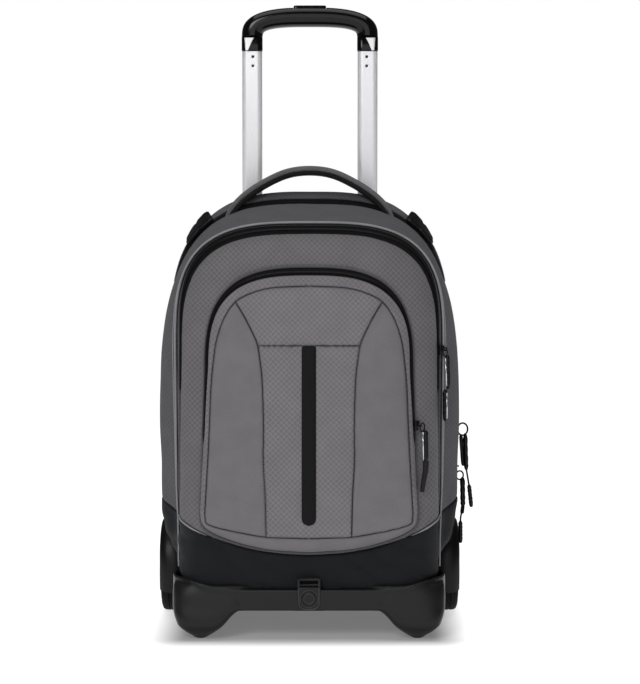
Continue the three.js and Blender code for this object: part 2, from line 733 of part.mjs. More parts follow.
// Side buckle on the shoulder of the rear compartment, and the webbing through it. Their lower and upper
// ends are shares of BAG_HEIGHT.
const BUCKLE = { depth: 55, low: 0.8772, high: 0.9496, thick: 5, wide: 30 };
const SIDE_WEBBING = { low: 0.7588, high: 0.9605 };
function shoulderPoint(sign, share, out) {
  const z = BAG_BOTTOM + share * BAG_HEIGHT;
  const row = rowAt(BAG_SECTIONS, "depth", (BACK_FACE - BUCKLE.depth) / BAG_DEPTH);
  const s = bagSection(row, out);
  return new THREE.Vector3(sign * edgeAt(s, z), BUCKLE.depth, z);
}
function sideBuckle(sign) {
  const out = WEBBING_THICK + 2 * GAP + BUCKLE.thick / 2;
  const path = [];
  for (let i = 0; i <= 8; i++)
    path.push(shoulderPoint(sign, BUCKLE.low + ((BUCKLE.high - BUCKLE.low) * i) / 8, out));
  const profile = (share) => {
    const end = Math.min(share, 1 - share);
    const shrink = end < 0.1 ? 0.8 : 1;
    return cutRectangle(BUCKLE.wide * shrink, BUCKLE.thick * shrink, 1.8);
  };
  return sweep(path, profile, acrossDepth).subtract(bagSolid(GAP + WEBBING_THICK + GAP));
}

function sideWebbing(sign) {
  const path = [];
  const { low, high } = SIDE_WEBBING;
  for (let i = 0; i <= 7; i++)
    path.push(shoulderPoint(sign, low + ((high - low) * i) / 7, GAP + WEBBING_THICK / 2 + 0.4));
  return sweep(path, cutRectangle(WEBBING_WIDTH, WEBBING_THICK, 0.4), acrossDepth).subtract(bagSolid(GAP));
}

// Base: a wall round the front and sides, a floor, two feet and a rear wall with the tube sockets
function baseWallPath(inset) {
  const half = BASE_WIDTH / 2 - inset;
  const front = BASE_FRONT - inset;
  const radius = BASE_CORNER - inset;
  const points = [];
  const straight = half - radius;
  for (let i = 0; i <= 6; i++) points.push([(straight * i) / 6, -front]);
  for (let i = 1; i <= 7; i++) {
    const angle = (i / 7) * (Math.PI / 2);
    points.push([straight + radius * Math.sin(angle), -front + radius * (1 - Math.cos(angle))]);
  }
  const backEnd = WHEEL_DEPTH - HOUSING_HALF_DEPTH - 6;
  for (let i = 1; i <= 3; i++) points.push([half, -front + radius + ((backEnd + front - radius) * i) / 3]);
  return points;
}

function baseWall() {
  const half = BASE_WIDTH / 2;
  const outer = baseWallPath(0);
  const inner = baseWallPath(BASE_WALL);
  const barHeight = BAG_BOTTOM - BAR_BOTTOM;
  const right = outer.map(([x, y], i) => {
    const sideRun = Math.max(0, y + BASE_FRONT - BASE_CORNER);
    const edge = rowAt(BASE_EDGE, "along", (x + sideRun) / half);
    const top = BAG_BOTTOM + edge.top * barHeight;
    const [u, v] = inner[i];
    return [
      new THREE.Vector3(x, y, BAR_BOTTOM),
      new THREE.Vector3(x, y, top),
      new THREE.Vector3(u, v, top),
      new THREE.Vector3(u, v, BAR_BOTTOM),
    ];
  });
  const mirror = (ring) => ring.map((p) => new THREE.Vector3(-p.x, p.y, p.z));
  const left = right.slice(1).map(mirror).reverse();
  return loft([...left, ...right]);
}

function foot(sign) {
  const half = BASE_WIDTH / 2;
  const rings = FOOT_SECTIONS.map((row) => {
    const [x0, x1] = [row.inner * half, row.outer * half];
    const [y0, y1] = [-row.front * BASE_FRONT, -row.back * BASE_FRONT];
    const z = row.height * FOOT_HEIGHT;
    const [cx, cy, rx, ry] = [(x0 + x1) / 2, (y0 + y1) / 2, (x1 - x0) / 2, (y1 - y0) / 2];
    const points = [];
    for (let i = 0; i < 10; i++) {
      const angle = (2 * Math.PI * (i + 0.5)) / 10;
      const [c, s] = [Math.cos(angle), Math.sin(angle)];
      const x = cx + Math.sign(c) * rx * Math.abs(c) ** 0.7;
      points.push(new THREE.Vector3(sign * x, cy + Math.sign(s) * ry * Math.abs(s) ** 0.7, z));
    }
    return points;
  });
  return loft(rings);
}

function baseFloor() {
  const shape = new THREE.Shape();
  const path = baseWallPath(BASE_WALL / 2);
  const rearHalf = HOUSING_INNER - GAP;
  const rear = TUBE_DEPTH - OUTER_TUBE.deep / 2;
  path.forEach(([x, y], i) => (i ? shape.lineTo(x, y) : shape.moveTo(x, y)));
  shape.lineTo(rearHalf, path[path.length - 1][1]);
  shape.lineTo(rearHalf, rear);
  shape.lineTo(-rearHalf, rear);
  shape.lineTo(-rearHalf, path[path.length - 1][1]);
  for (let i = path.length - 1; i > 0; i--) shape.lineTo(-path[i][0], path[i][1]);
  const geometry = new THREE.ExtrudeGeometry(shape, { depth: FLOOR_THICK, bevelEnabled: false });
  geometry.translate(0, 0, BAG_BOTTOM - GAP - FLOOR_THICK);
  return solidOf(geometry);
}

// Face of the latch, which has round lower corners, moved out by grow
function latchShape(grow) {
  const half = LATCH.wide / 2 + grow;
  const bottom = LATCH.bottom - grow;
  const cut = 6.5;
  const shape = new THREE.Shape();
  shape.moveTo(-half + cut, bottom);
  shape.lineTo(half - cut, bottom);
  shape.quadraticCurveTo(half - 1.5, bottom + 1.5, half, bottom + cut + 1);
  shape.lineTo(half, LATCH.top);
  shape.lineTo(-half, LATCH.top);
  shape.lineTo(-half, bottom + cut + 1);
  shape.quadraticCurveTo(-half + 1.5, bottom + 1.5, -half + cut, bottom);
  return shape;
}

function trolleyBase() {
  const half = HOUSING_INNER - GAP;
  const rear = TUBE_DEPTH - OUTER_TUBE.deep / 2;
  const rearFloor = BAG_BOTTOM - GAP - FLOOR_THICK;
  const rearWall = block(-half, half, rear - REAR_WALL_THICK, rear, rearFloor, REAR_WALL_TOP);
  const rib = (x) => block(x - 2, x + 2, -BASE_FRONT + 2, rear, rearFloor - RIB_HEIGHT, rearFloor + 1);
  let base = unite(baseWall(), foot(1), foot(-1), baseFloor(), rearWall, rib(-60), rib(60));
  for (const sign of [1, -1]) {
    const x = (sign * TUBE_SPACING) / 2;
    const socket = [OUTER_TUBE.wide + 8, OUTER_TUBE.deep + 6];
    base = base.add(column(x, TUBE_DEPTH, rearFloor - RIB_HEIGHT, REAR_WALL_TOP - 6, ...socket, 5, 1));
  }
  for (const sign of [1, -1]) {
    const x = (sign * TUBE_SPACING) / 2;
    const bore = [OUTER_TUBE.wide + 2 * GAP, OUTER_TUBE.deep + 2 * GAP];
    base = base.subtract(column(x, TUBE_DEPTH, rearFloor - SOCKET_SEAT, REAR_WALL_TOP + 10, ...bore, 7));
  }
  const side = LATCH.wide / 2 + 4;
  const backing = block(-side, side, -BASE_FRONT + 2, -BASE_FRONT + 9, BAR_BOTTOM, BAG_BOTTOM - 1);
  const seat = extrudeDeep(latchShape(GAP), -BASE_FRONT - 10, -BASE_FRONT + LATCH.seat);
  const well = cylinderAlong("y", LATCH.button + 1.2, 9, [0, -BASE_FRONT + 6, LATCH.middle], 14);
  return base.add(backing).subtract(seat).subtract(bagSolid(GAP)).subtract(well);
}

// Latch in the middle of the front bar: a tab with a round button, and the yoke that holds the bag
function latchTab() {
  const plate = extrudeDeep(latchShape(0), -BASE_FRONT - LATCH.proud, -BASE_FRONT + LATCH.seat - GAP, 4);
  return plate.subtract(cylinderAlong("y", LATCH.button + GAP, 20, [0, -BASE_FRONT, LATCH.middle], 20));
}

const latchButton = () => cylinderAlong("y", LATCH.button, 5.4, [0, -BASE_FRONT + 1.3, LATCH.middle], 20);

function latchYoke() {
  const outer = LATCH.wide / 2 - 0.1;
  const inner = outer - YOKE.wire;
  const low = LATCH.top + GAP;
  const high = low + YOKE.high;
  const front = -BASE_FRONT - LATCH.proud;
  const arm = (x0, x1) => block(x0, x1, front, front + YOKE.deep, low, high);
  const bar = (z0, z1) => block(-outer, outer, front + 3, front + YOKE.deep, z0, z1);
  const [foot, pin] = [bar(low, low + YOKE.wire), bar(high - YOKE.wire, high)];
  return unite(arm(-outer, -inner), arm(inner, outer), foot, pin).subtract(bagSolid(GAP));
}

// Wheel housing with a window in its outer wall, so that the wheel shows
function wheelHousing(sign) {
  const cavity = loft([
    housingArch(sign * (HOUSING_INNER + HOUSING_WALL), -HOUSING_WALL, -20, 10),
    housingArch(sign * (HOUSING_OUTER - HOUSING_WALL), -HOUSING_WALL - 6, -20, 10),
  ]);
  const window = cylinderAlong(
    "x",
    WINDOW_RADIUS,
    20,
    [sign * HOUSING_OUTER, WHEEL_DEPTH, WHEEL_RADIUS],
    20,
  );
  const bore = cylinderAlong(
    "x",
    AXLE_RADIUS + GAP,
    20,
    [sign * HOUSING_INNER, WHEEL_DEPTH, WHEEL_RADIUS],
    12,
  );
  return housingSolid(sign).subtract(cavity).subtract(window).subtract(bore);
}

// Lathe about the wheel's axle. The profile lists [radius, across] pairs and closes on itself.
function turned(profile, sign, sides) {
  const points = profile.map(([radius, across]) => new THREE.Vector2(radius, across));
  points.push(points[0].clone());
  const geometry = new THREE.LatheGeometry(points, sides);
  geometry.rotateZ(Math.PI / 2);
  geometry.translate(sign * WHEEL_MIDDLE, WHEEL_DEPTH, WHEEL_RADIUS);
  const corners = geometry.getAttribute("position");
  const points3 = [];
  for (let i = 0; i < corners.count; i++) points3.push(new THREE.Vector3().fromBufferAttribute(corners, i));
  const faces = [];
  for (let i = 0; i < geometry.index.count; i += 3)
    faces.push([0, 1, 2].map((k) => geometry.index.getX(i + k)));
  return closed(points3, faces);
}

const WHEEL_MIDDLE = (HOUSING_INNER + HOUSING_OUTER) / 2 - 0.5;
const HALF_WHEEL = WHEEL_WIDTH / 2;
function tyre(sign) {
  const r = WHEEL_RADIUS;
  return turned(
    [
      [RIM_RADIUS + GAP, -HALF_WHEEL + 2],
      [r - 5, -HALF_WHEEL],
      [r - 1, -HALF_WHEEL + 4],
      [r, 0],
      [r - 1, HALF_WHEEL - 4],
      [r - 5, HALF_WHEEL],
      [RIM_RADIUS + GAP, HALF_WHEEL - 2],
    ],
    sign,
    24,
  );
}

function hub(sign) {
  const face = HALF_WHEEL - 2;
  const web = 0.4 * HALF_WHEEL;
  const rim = turned(
    [
      [AXLE_RADIUS + AXLE_PLAY, -face],
      [11, -face],
      [13, -web],
      [RIM_RADIUS - 5, -web],
      [RIM_RADIUS, -face],
      [RIM_RADIUS, face],
      [RIM_RADIUS - 5, web],
      [13, web],
      [11, face],
      [AXLE_RADIUS + AXLE_PLAY, face],
    ],
    sign,
    14,
  );
  let wheel = rim;
  for (let i = 0; i < 5; i++) {
    const angle = (2 * Math.PI * i) / 5;
    const centre = [
      sign * WHEEL_MIDDLE,
      WHEEL_DEPTH + 20 * Math.cos(angle),
      WHEEL_RADIUS + 20 * Math.sin(angle),
    ];
    wheel = wheel.subtract(cylinderAlong("x", 5.2, 40, centre, 5));
  }
  return wheel;
}

function axle(sign) {
  const [inner, outer] = [HOUSING_INNER - 2, WHEEL_MIDDLE + HALF_WHEEL + 2.5];
  const shaft = cylinderAlong(
    "x",
    AXLE_RADIUS,
    outer - inner,
    [(sign * (inner + outer)) / 2, WHEEL_DEPTH, WHEEL_RADIUS],
    12,
  );
  const innerHead = HOUSING_INNER + HOUSING_WALL + 1.3;
  const head = (x, r, w) => cylinderAlong("x", r, w, [sign * x, WHEEL_DEPTH, WHEEL_RADIUS], 12);
  return unite(shaft, head(innerHead, 7, 2), head(outer - 1, 7.5, 3));
}

// Tubes of the telescopic handle
function hollowTube(x, z0, z1, size, radius) {
  const outside = column(x, TUBE_DEPTH, z0, z1, size.wide, size.deep, radius);
  const inside = [size.wide - 2 * size.wall, size.deep - 2 * size.wall, radius - size.wall];
  return outside.subtract(column(x, TUBE_DEPTH, z0 - 1, z1 + 1, ...inside));
}

function handleTube(sign) {
  const x = (sign * TUBE_SPACING) / 2;
  let tube = hollowTube(x, TUBE_TOP - TUBE_LENGTH, TUBE_TOP, INNER_TUBE, 6.2);
  for (const drop of DIMPLE.drops) {
    const dimple = new THREE.ConeGeometry(DIMPLE.radius, 2 * DIMPLE.deep, 6);
    dimple.translate(x - sign * DIMPLE.aside, TUBE_DEPTH - INNER_TUBE.deep / 2, TUBE_TOP - drop);
    tube = tube.subtract(solidOf(dimple));
  }
  return tube;
}

function frameTube(sign) {
  const low = BAG_BOTTOM - FLOOR_THICK - SOCKET_SEAT;
  const high = BRIDGE_TOP - BRIDGE_HEIGHT + SOCKET_DEPTH - GAP;
  return hollowTube((sign * TUBE_SPACING) / 2, low, high, OUTER_TUBE, 7);
}

// Bridge that joins the frame tubes at the top and backs on to the bag
function frameBridge() {
  const half = TUBE_SPACING / 2 + OUTER_TUBE.wide / 2 + 5;
  const low = BRIDGE_TOP - BRIDGE_HEIGHT;
  const deep = OUTER_TUBE.deep + 6;
  let bridge = column(0, TUBE_DEPTH, low, BRIDGE_TOP, 2 * half, deep, 8, 3);
  const seatFront = BACK_FACE + GAP;
  bridge = bridge.add(block(-34, 34, seatFront, TUBE_DEPTH, low, BRIDGE_TOP - 16));
  for (const sign of [1, -1]) {
    const x = (sign * TUBE_SPACING) / 2;
    const guide = [INNER_TUBE.wide + 2 * SLIDE_PLAY, INNER_TUBE.deep + 2 * SLIDE_PLAY];
    const socket = [OUTER_TUBE.wide + 2 * GAP, OUTER_TUBE.deep + 2 * GAP];
    bridge = bridge
      .subtract(column(x, TUBE_DEPTH, low - 1, BRIDGE_TOP + 1, ...guide, 6.2 + SLIDE_PLAY))
      .subtract(column(x, TUBE_DEPTH, low - 1, low + SOCKET_DEPTH, ...socket, 7));
  }
  return bridge;
}

// An arch from its right foot to its left one, with share from 0 to 1
function gripArch(half, top, spring, round, share) {
  const angle = share * Math.PI;
  const [c, s] = [Math.cos(angle), Math.sin(angle)];
  return [
    Math.sign(c) * half * Math.abs(c) ** (2 / round),
    spring + (top - spring) * Math.abs(s) ** (2 / round),
  ];
}

const GRIP_HALF = TUBE_SPACING / 2 + INNER_TUBE.wide / 2 + 0.4;
const COLLAR_WIDE = INNER_TUBE.wide + 1.2;

// Grip: rounded sections between an outer and an inner arch
function grip() {
  const low = TUBE_TOP + COLLAR_HEIGHT + GAP;
  const innerHalf = GRIP_HALF - COLLAR_WIDE;
  const steps = 16;
  const rings = [];
  for (let i = 0; i <= steps; i++) {
    const share = i / steps;
    const [xo, zo] = gripArch(GRIP_HALF, GRIP_TOP, low, GRIP_ROUND.outer, share);
    const [xi, zi] = gripArch(innerHalf, GRIP_TOP - GRIP_BAR, low, GRIP_ROUND.inner, share);
    const [cx, cz] = [(xo + xi) / 2, (zo + zi) / 2];
    const [rx, ry, rz] = [(xo - xi) / 2, GRIP_DEPTH / 2, (zo - zi) / 2];
    const ring = circle(1, 12, 0.5).map(([a, b]) => {
      const u = Math.sign(a) * Math.abs(a) ** 0.75;
      const v = Math.sign(b) * Math.abs(b) ** 0.75;
      return new THREE.Vector3(cx + rx * u, TUBE_DEPTH + ry * v, cz + rz * u);
    });
    rings.push(ring);
  }
  const seat = block(
    -BUTTON.wide / 2 - GAP,
    BUTTON.wide / 2 + GAP,
    TUBE_DEPTH - BUTTON.deep / 2 - GAP,
    TUBE_DEPTH + BUTTON.deep / 2 + GAP,
    GRIP_TOP - BUTTON.seat - BUTTON.rise - GAP,
    GRIP_TOP + 10,
  );
  return loft(rings).subtract(seat);
}

function gripButton() {
  const geometry = new THREE.ExtrudeGeometry(roundedRectangle(BUTTON.wide - 1, BUTTON.deep - 1, 3), {
    depth: BUTTON.seat + BUTTON.rise - 1,
    bevelEnabled: true,
    bevelThickness: 0.5,
    bevelSize: 0.5,
    bevelSegments: 1,
    curveSegments: 3,
  });
  geometry.translate(0, TUBE_DEPTH, GRIP_TOP - BUTTON.seat + 0.5);
  const top = GRIP_TOP + BUTTON.rise;
  const dish = block(
    -BUTTON.wide / 2 + 5,
    BUTTON.wide / 2 - 5,
    TUBE_DEPTH - BUTTON.deep / 2 + 4,
    TUBE_DEPTH + BUTTON.deep / 2 - 4,
    top - 1.2,
    top + 5,
  );
  return solidOf(geometry).subtract(dish);
}

// Collar under each end of the grip, with a spigot inside the tube
function gripCollar(sign) {
  const x = (sign * TUBE_SPACING) / 2;
  const size = [COLLAR_WIDE, INNER_TUBE.deep + 3, 6.5];
  const collar = column(x, TUBE_DEPTH, TUBE_TOP + GAP, TUBE_TOP + COLLAR_HEIGHT, ...size);
  const spigot = [
    INNER_TUBE.wide - 2 * INNER_TUBE.wall - 2 * GAP,
    INNER_TUBE.deep - 2 * INNER_TUBE.wall - 2 * GAP,
    4.4,
  ];
  return collar.add(column(x, TUBE_DEPTH, TUBE_TOP - SPIGOT_LENGTH, TUBE_TOP + 2, ...spigot));
}

// Zip slider: a small shoe across the tape, and a lug that the pull's ring hangs on. A bent lug ends in
// a pin that points forward.
const LUG = 1.6;
const LUG_REACH = 8;
const BENT_REACH = 8.8;
const RING = { radius: 3.4, wire: 0.9 };
const RING_DROP = RING.radius - RING.wire - LUG / 2 - GAP;
function slider(place, turn, reach, bent) {
  const shoe = column(0, 0, -5.5, 5.5, 8, 4, 1.4);
  let body = shoe.add(block(-LUG / 2, LUG / 2, -reach, -1.4, -LUG / 2, LUG / 2));
  if (bent) body = body.add(block(-4, 0, -reach, -reach + LUG, -LUG / 2, LUG / 2));
  const geometry = geometryOf(body);
  geometry.rotateZ(turn);
  geometry.translate(...place);
  return solidOf(geometry).subtract(bagSolid(GAP)).subtract(pocketSolid(GAP));
}

// Zip pull: a ring, a tab, a short cord and a ribbed tip, each given by its own points
function zipPull(points, wide) {
  const [ringMiddle, tabTop, tabEnd, cordEnd, tipEnd] = points.map((p) => new THREE.Vector3(...p));
  const rod = (a, b, profile) => sweep([a, b], profile, wide);
  const ring = new THREE.TorusGeometry(RING.radius, RING.wire, 4, 8);
  const facing = new THREE.Vector3().crossVectors(wide, new THREE.Vector3(0, 0, 1)).normalize();
  ring.applyQuaternion(new THREE.Quaternion().setFromUnitVectors(new THREE.Vector3(0, 0, 1), facing));
  ring.translate(...ringMiddle.toArray());
  return unite(
    solidOf(ring),
    rod(tabTop, tabEnd, cutRectangle(6.4, 2.6, 0.8)),
    rod(tabEnd.clone().lerp(tabTop, 0.12), cordEnd.clone().lerp(tipEnd, 0.15), circle(1.15, 5)),
    rod(cordEnd, tipEnd, circle(2.5, 6)),
  );
}

// Sliders and pulls sit at their places on the three zips.
function onBagZip(depthShare, z, out) {
  const s = bagSection(rowAt(BAG_SECTIONS, "depth", depthShare), out);
  return [edgeAt(s, z), bagDepthAt(depthShare, z), z];
}
function onPocketZip(reach, z, out) {
  const s = pocketSection(rowAt(POCKET_SECTIONS, "reach", reach), out);
  return [edgeAt(s, z), pocketDepthAt(reach, z), z];
}
const MAIN_SHARE = MAIN_ZIP_DEPTH / BAG_DEPTH;
const REAR_SHARE = REAR_ZIP_DEPTH / BAG_DEPTH;
const POCKET_SHARE = POCKET_ZIP_REACH / POCKET_DEPTH;

const shift = ([x, y, z], dx, dy, dz) => [x + dx, y + dy, z + dz];
const pocketSliderPlace = onPocketZip(POCKET_SHARE, 243, 2.6);
const mainSliderPlace = onBagZip(MAIN_SHARE, 326, 2.6);
const rearSliderPlaces = [220, 181].map((z) => onBagZip(REAR_SHARE, z, 2.6));

// Each row of a pull is out, forward and down from its slider, in mm: the ring's middle, the tab's top
// and end, and the end of the cord and of the tip.
const hangingPull = (start, drops) =>
  drops.map(([out, forward, down]) => shift(start, out, -forward, -down));

const DIAGONAL = 0.8;
const diagonalWide = new THREE.Vector3(Math.cos(DIAGONAL), Math.sin(DIAGONAL), 0);
const pocketPull = zipPull(
  hangingPull(pocketSliderPlace, [
    [4.3, 4.2, RING_DROP],
    [4.6, 4.5, 5],
    [5.6, 5.4, 38],
    [5.4, 5.4, 48],
    [4.6, 5.4, 74],
  ]),
  diagonalWide,
);
const mainPull = zipPull(
  hangingPull(mainSliderPlace, [
    [4.3, 4.2, RING_DROP],
    [4.5, 4.4, 5],
    [5.4, 4.6, 32],
    [5, 4.6, 36],
    [4.4, 4.6, 54],
  ]),
  diagonalWide,
);
const rearPullHigh = zipPull(
  hangingPull(rearSliderPlaces[0], [
    [8, 2.4, RING_DROP],
    [9, 1.8, 5],
    [12.2, -2, 34],
    [13, -4, 52],
    [13.2, -8, 88],
  ]),
  acrossBag,
);
const rearPullLow = zipPull(
  hangingPull(rearSliderPlaces[1], [
    [8, 2.4, RING_DROP],
    [8.6, 3.4, 5],
    [11.5, 16, 38],
    [10.5, 26, 62],
    [8.5, 31, 91],
  ]),
  acrossBag,
);

// Colours and finishes
const finish = (color, roughness, metalness = 0) =>
  new THREE.MeshStandardMaterial({ color, roughness, metalness });
const GREY_CLOTH = finish(0x58585a, 0.85);
const FACE_CLOTH = finish(0x6f6d70, 0.8);
const BLACK_CLOTH = finish(0x222326, 0.85);
const ZIP_BLACK = finish(0x17171a, 0.6);
const PIPING_GREY = finish(0x77777a, 0.7);
const BASE_PLASTIC = finish(0x2a2a2c, 0.5);
const GLOSS_PLASTIC = finish(0x0d0d0f, 0.15);
const BUCKLE_PLASTIC = finish(0x101012, 0.35);
const ALUMINIUM = finish(0xe2e2e4, 0.3, 1);
const RUBBER = finish(0x161616, 0.8);
const PULL_METAL = finish(0x1b1b1d, 0.3, 0.8);

const bag = new THREE.Group();
const trolley = new THREE.Group();
function addTo(group, name, solid, material) {
  const mesh = new THREE.Mesh(geometryOf(solid.simplify(FACET_SLACK)), material);
  mesh.name = name;
  group.add(mesh);
}

addTo(bag, "rear_compartment", rearCompartment, GREY_CLOTH);
addTo(bag, "main_gusset", mainGusset, GREY_CLOTH);
addTo(bag, "front_compartment", frontCompartment, FACE_CLOTH);
addTo(bag, "boot", boot, BLACK_CLOTH);
addTo(bag, "pocket_rim", pocketRim, GREY_CLOTH);
addTo(bag, "pocket_front", pocketFront, FACE_CLOTH);
addTo(bag, "rear_zip", rearZip, ZIP_BLACK);
addTo(bag, "main_zip", mainZip, ZIP_BLACK);
addTo(bag, "pocket_zip", pocketZip, ZIP_BLACK);
addTo(bag, "front_stripe", stripe(), BLACK_CLOTH);
addTo(bag, "piping", piping(), PIPING_GREY);
addTo(bag, "grab_handle", grabHandle(), GREY_CLOTH);
BACK_PADS.forEach((pad) => addTo(bag, pad.name, backPad(pad), BLACK_CLOTH));
for (const [side, sign] of [
  ["left", -1],
  ["right", 1],
]) {
  addTo(bag, `shoulder_strap_${side}`, shoulderStrap(sign), BLACK_CLOTH);
  addTo(bag, `strap_adjuster_${side}`, adjuster(sign), BUCKLE_PLASTIC);
  addTo(bag, `strap_webbing_${side}`, strapWebbing(sign), BLACK_CLOTH);
  addTo(bag, `side_webbing_${side}`, sideWebbing(sign), GREY_CLOTH);
  addTo(bag, `side_buckle_${side}`, sideBuckle(sign), BUCKLE_PLASTIC);
  addTo(trolley, `wheel_housing_${side}`, wheelHousing(sign), BASE_PLASTIC);
  addTo(trolley, `tyre_${side}`, tyre(sign), RUBBER);
  addTo(trolley, `hub_${side}`, hub(sign), BASE_PLASTIC);
  addTo(trolley, `axle_${side}`, axle(sign), PULL_METAL);
  addTo(trolley, `frame_tube_${side}`, frameTube(sign), ALUMINIUM);
  addTo(trolley, `handle_tube_${side}`, handleTube(sign), ALUMINIUM);
  addTo(trolley, `grip_collar_${side}`, gripCollar(sign), GLOSS_PLASTIC);
}
addTo(trolley, "trolley_base", trolleyBase(), BASE_PLASTIC);
addTo(trolley, "frame_bridge", frameBridge(), BASE_PLASTIC);
addTo(trolley, "grip", grip(), GLOSS_PLASTIC);
addTo(trolley, "grip_button", gripButton(), GLOSS_PLASTIC);
addTo(trolley, "latch_tab", latchTab(), BASE_PLASTIC);
addTo(trolley, "latch_button", latchButton(), BASE_PLASTIC);
addTo(trolley, "latch_yoke", latchYoke(), BASE_PLASTIC);
addTo(bag, "pocket_slider", slider(pocketSliderPlace, DIAGONAL, LUG_REACH, false), PULL_METAL);
addTo(bag, "pocket_pull", pocketPull, PULL_METAL);
addTo(bag, "main_slider", slider(mainSliderPlace, DIAGONAL, LUG_REACH, false), PULL_METAL);
addTo(bag, "main_pull", mainPull, PULL_METAL);
rearSliderPlaces.forEach((place, i) => {
  const body = slider(place, Math.PI / 2, BENT_REACH, true);
  addTo(bag, `rear_slider_${["high", "low"][i]}`, body, PULL_METAL);
});
addTo(bag, "rear_pull_high", rearPullHigh, PULL_METAL);
addTo(bag, "rear_pull_low", rearPullLow, PULL_METAL);

const backpack = new THREE.Group();
backpack.add(bag, trolley);
export default backpack;
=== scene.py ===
import math
import bmesh
import bpy
import numpy as np
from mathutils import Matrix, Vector, noise
from mathutils.bvhtree import BVHTree


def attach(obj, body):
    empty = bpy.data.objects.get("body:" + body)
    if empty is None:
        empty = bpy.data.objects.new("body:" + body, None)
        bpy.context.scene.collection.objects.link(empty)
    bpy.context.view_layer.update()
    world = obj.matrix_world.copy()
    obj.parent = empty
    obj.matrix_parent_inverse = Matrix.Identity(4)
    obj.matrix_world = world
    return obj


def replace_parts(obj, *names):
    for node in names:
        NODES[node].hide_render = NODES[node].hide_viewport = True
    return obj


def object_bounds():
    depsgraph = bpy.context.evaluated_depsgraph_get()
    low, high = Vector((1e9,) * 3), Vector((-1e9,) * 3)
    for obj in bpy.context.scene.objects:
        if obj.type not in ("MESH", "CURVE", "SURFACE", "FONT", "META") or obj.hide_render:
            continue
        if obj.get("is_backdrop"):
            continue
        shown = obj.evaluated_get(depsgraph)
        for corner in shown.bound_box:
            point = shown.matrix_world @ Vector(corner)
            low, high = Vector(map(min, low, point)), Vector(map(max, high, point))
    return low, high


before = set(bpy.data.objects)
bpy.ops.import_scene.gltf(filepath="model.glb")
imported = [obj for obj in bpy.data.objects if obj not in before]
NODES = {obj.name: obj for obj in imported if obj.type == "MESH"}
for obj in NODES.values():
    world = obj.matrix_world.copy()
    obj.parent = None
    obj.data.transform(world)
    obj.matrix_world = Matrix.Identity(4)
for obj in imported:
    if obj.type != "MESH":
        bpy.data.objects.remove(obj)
CAD_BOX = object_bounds()

# Camera.
CAMERA_PLACE = (0.0125, -2.0, 0.426)
CAMERA_PITCH = 2.65
CAMERA_LENS = 88.84

camera_data = bpy.data.cameras.new("camera")
camera_data.lens = CAMERA_LENS
camera_data.sensor_width = 36
camera_data.clip_start = 0.05
camera = bpy.data.objects.new("camera", camera_data)
camera.location = CAMERA_PLACE
camera.rotation_euler = (math.radians(90 - CAMERA_PITCH), 0, 0)
bpy.context.scene.collection.objects.link(camera)
bpy.context.scene.camera = camera

# Sizes, in mm, as in the CAD source.
MM = 0.001
BAG_WIDTH, BAG_HEIGHT, BAG_DEPTH, BAG_BOTTOM = 357.5, 456, 142, 58
BACK_FACE, LOW_BULGE = 72, 30
HEM_MIDDLE, HEM_RISE, HEM_POWER = 96, 54, 2.1
POCKET_WIDTH, POCKET_HEIGHT, POCKET_DEPTH, POCKET_ROOT = 252, 330, 34, 134
ZIP_SHOWN, REAR_ZIP_DEPTH, REAR_ZIP_END = 9.4, 31, 150
MAIN_ZIP_DEPTH, MAIN_ZIP_END = 109, 281
POCKET_ZIP_REACH, POCKET_ZIP_SHOWN, POCKET_ZIP_END = 13, 6.4, 228
MAIN_PIPING_DEPTH = 103.3
WHEEL_DEPTH, WHEEL_HEIGHT = 69, 48
HOUSING_INNER, HOUSING_HALF_DEPTH, HOUSING_TOP = 150, 57, 117
HOUSING_OUTER, HOUSING_LOW, HOUSING_PLATE, LIP_RADIUS, LIP_START = 181, 31, 3, 49.5, 165
PLATE_REACH, PLATE_BORE, TYRE_MIDDLE, TYRE_HALF, TYRE_BORE = 43, 4.4, 167, 13.3, 34.4
BASE_WIDTH, BASE_FRONT, BASE_CORNER, BASE_WALL, BAR_BOTTOM = 314, 108, 45, 3.5, 33.5
REAR_WALL_TOP, FOOT_HEIGHT = 96, 52
TUBE_SPACING, TUBE_DEPTH, TUBE_TOP, TUBE_LOW = 142.6, 100, 688, 248
INNER_TUBE, OUTER_TUBE = (24.5, 14, 1.5, 6.2), (30, 20, 1.6, 7)
FRAME_LOW, FRAME_HIGH = 46, 487.7
GRIP_LOW, GRIP_TOP, GRIP_BAR, GRIP_DEPTH, GRIP_HALF, COLLAR_WIDE = 706.6, 742, 24, 26, 83.95, 25.7

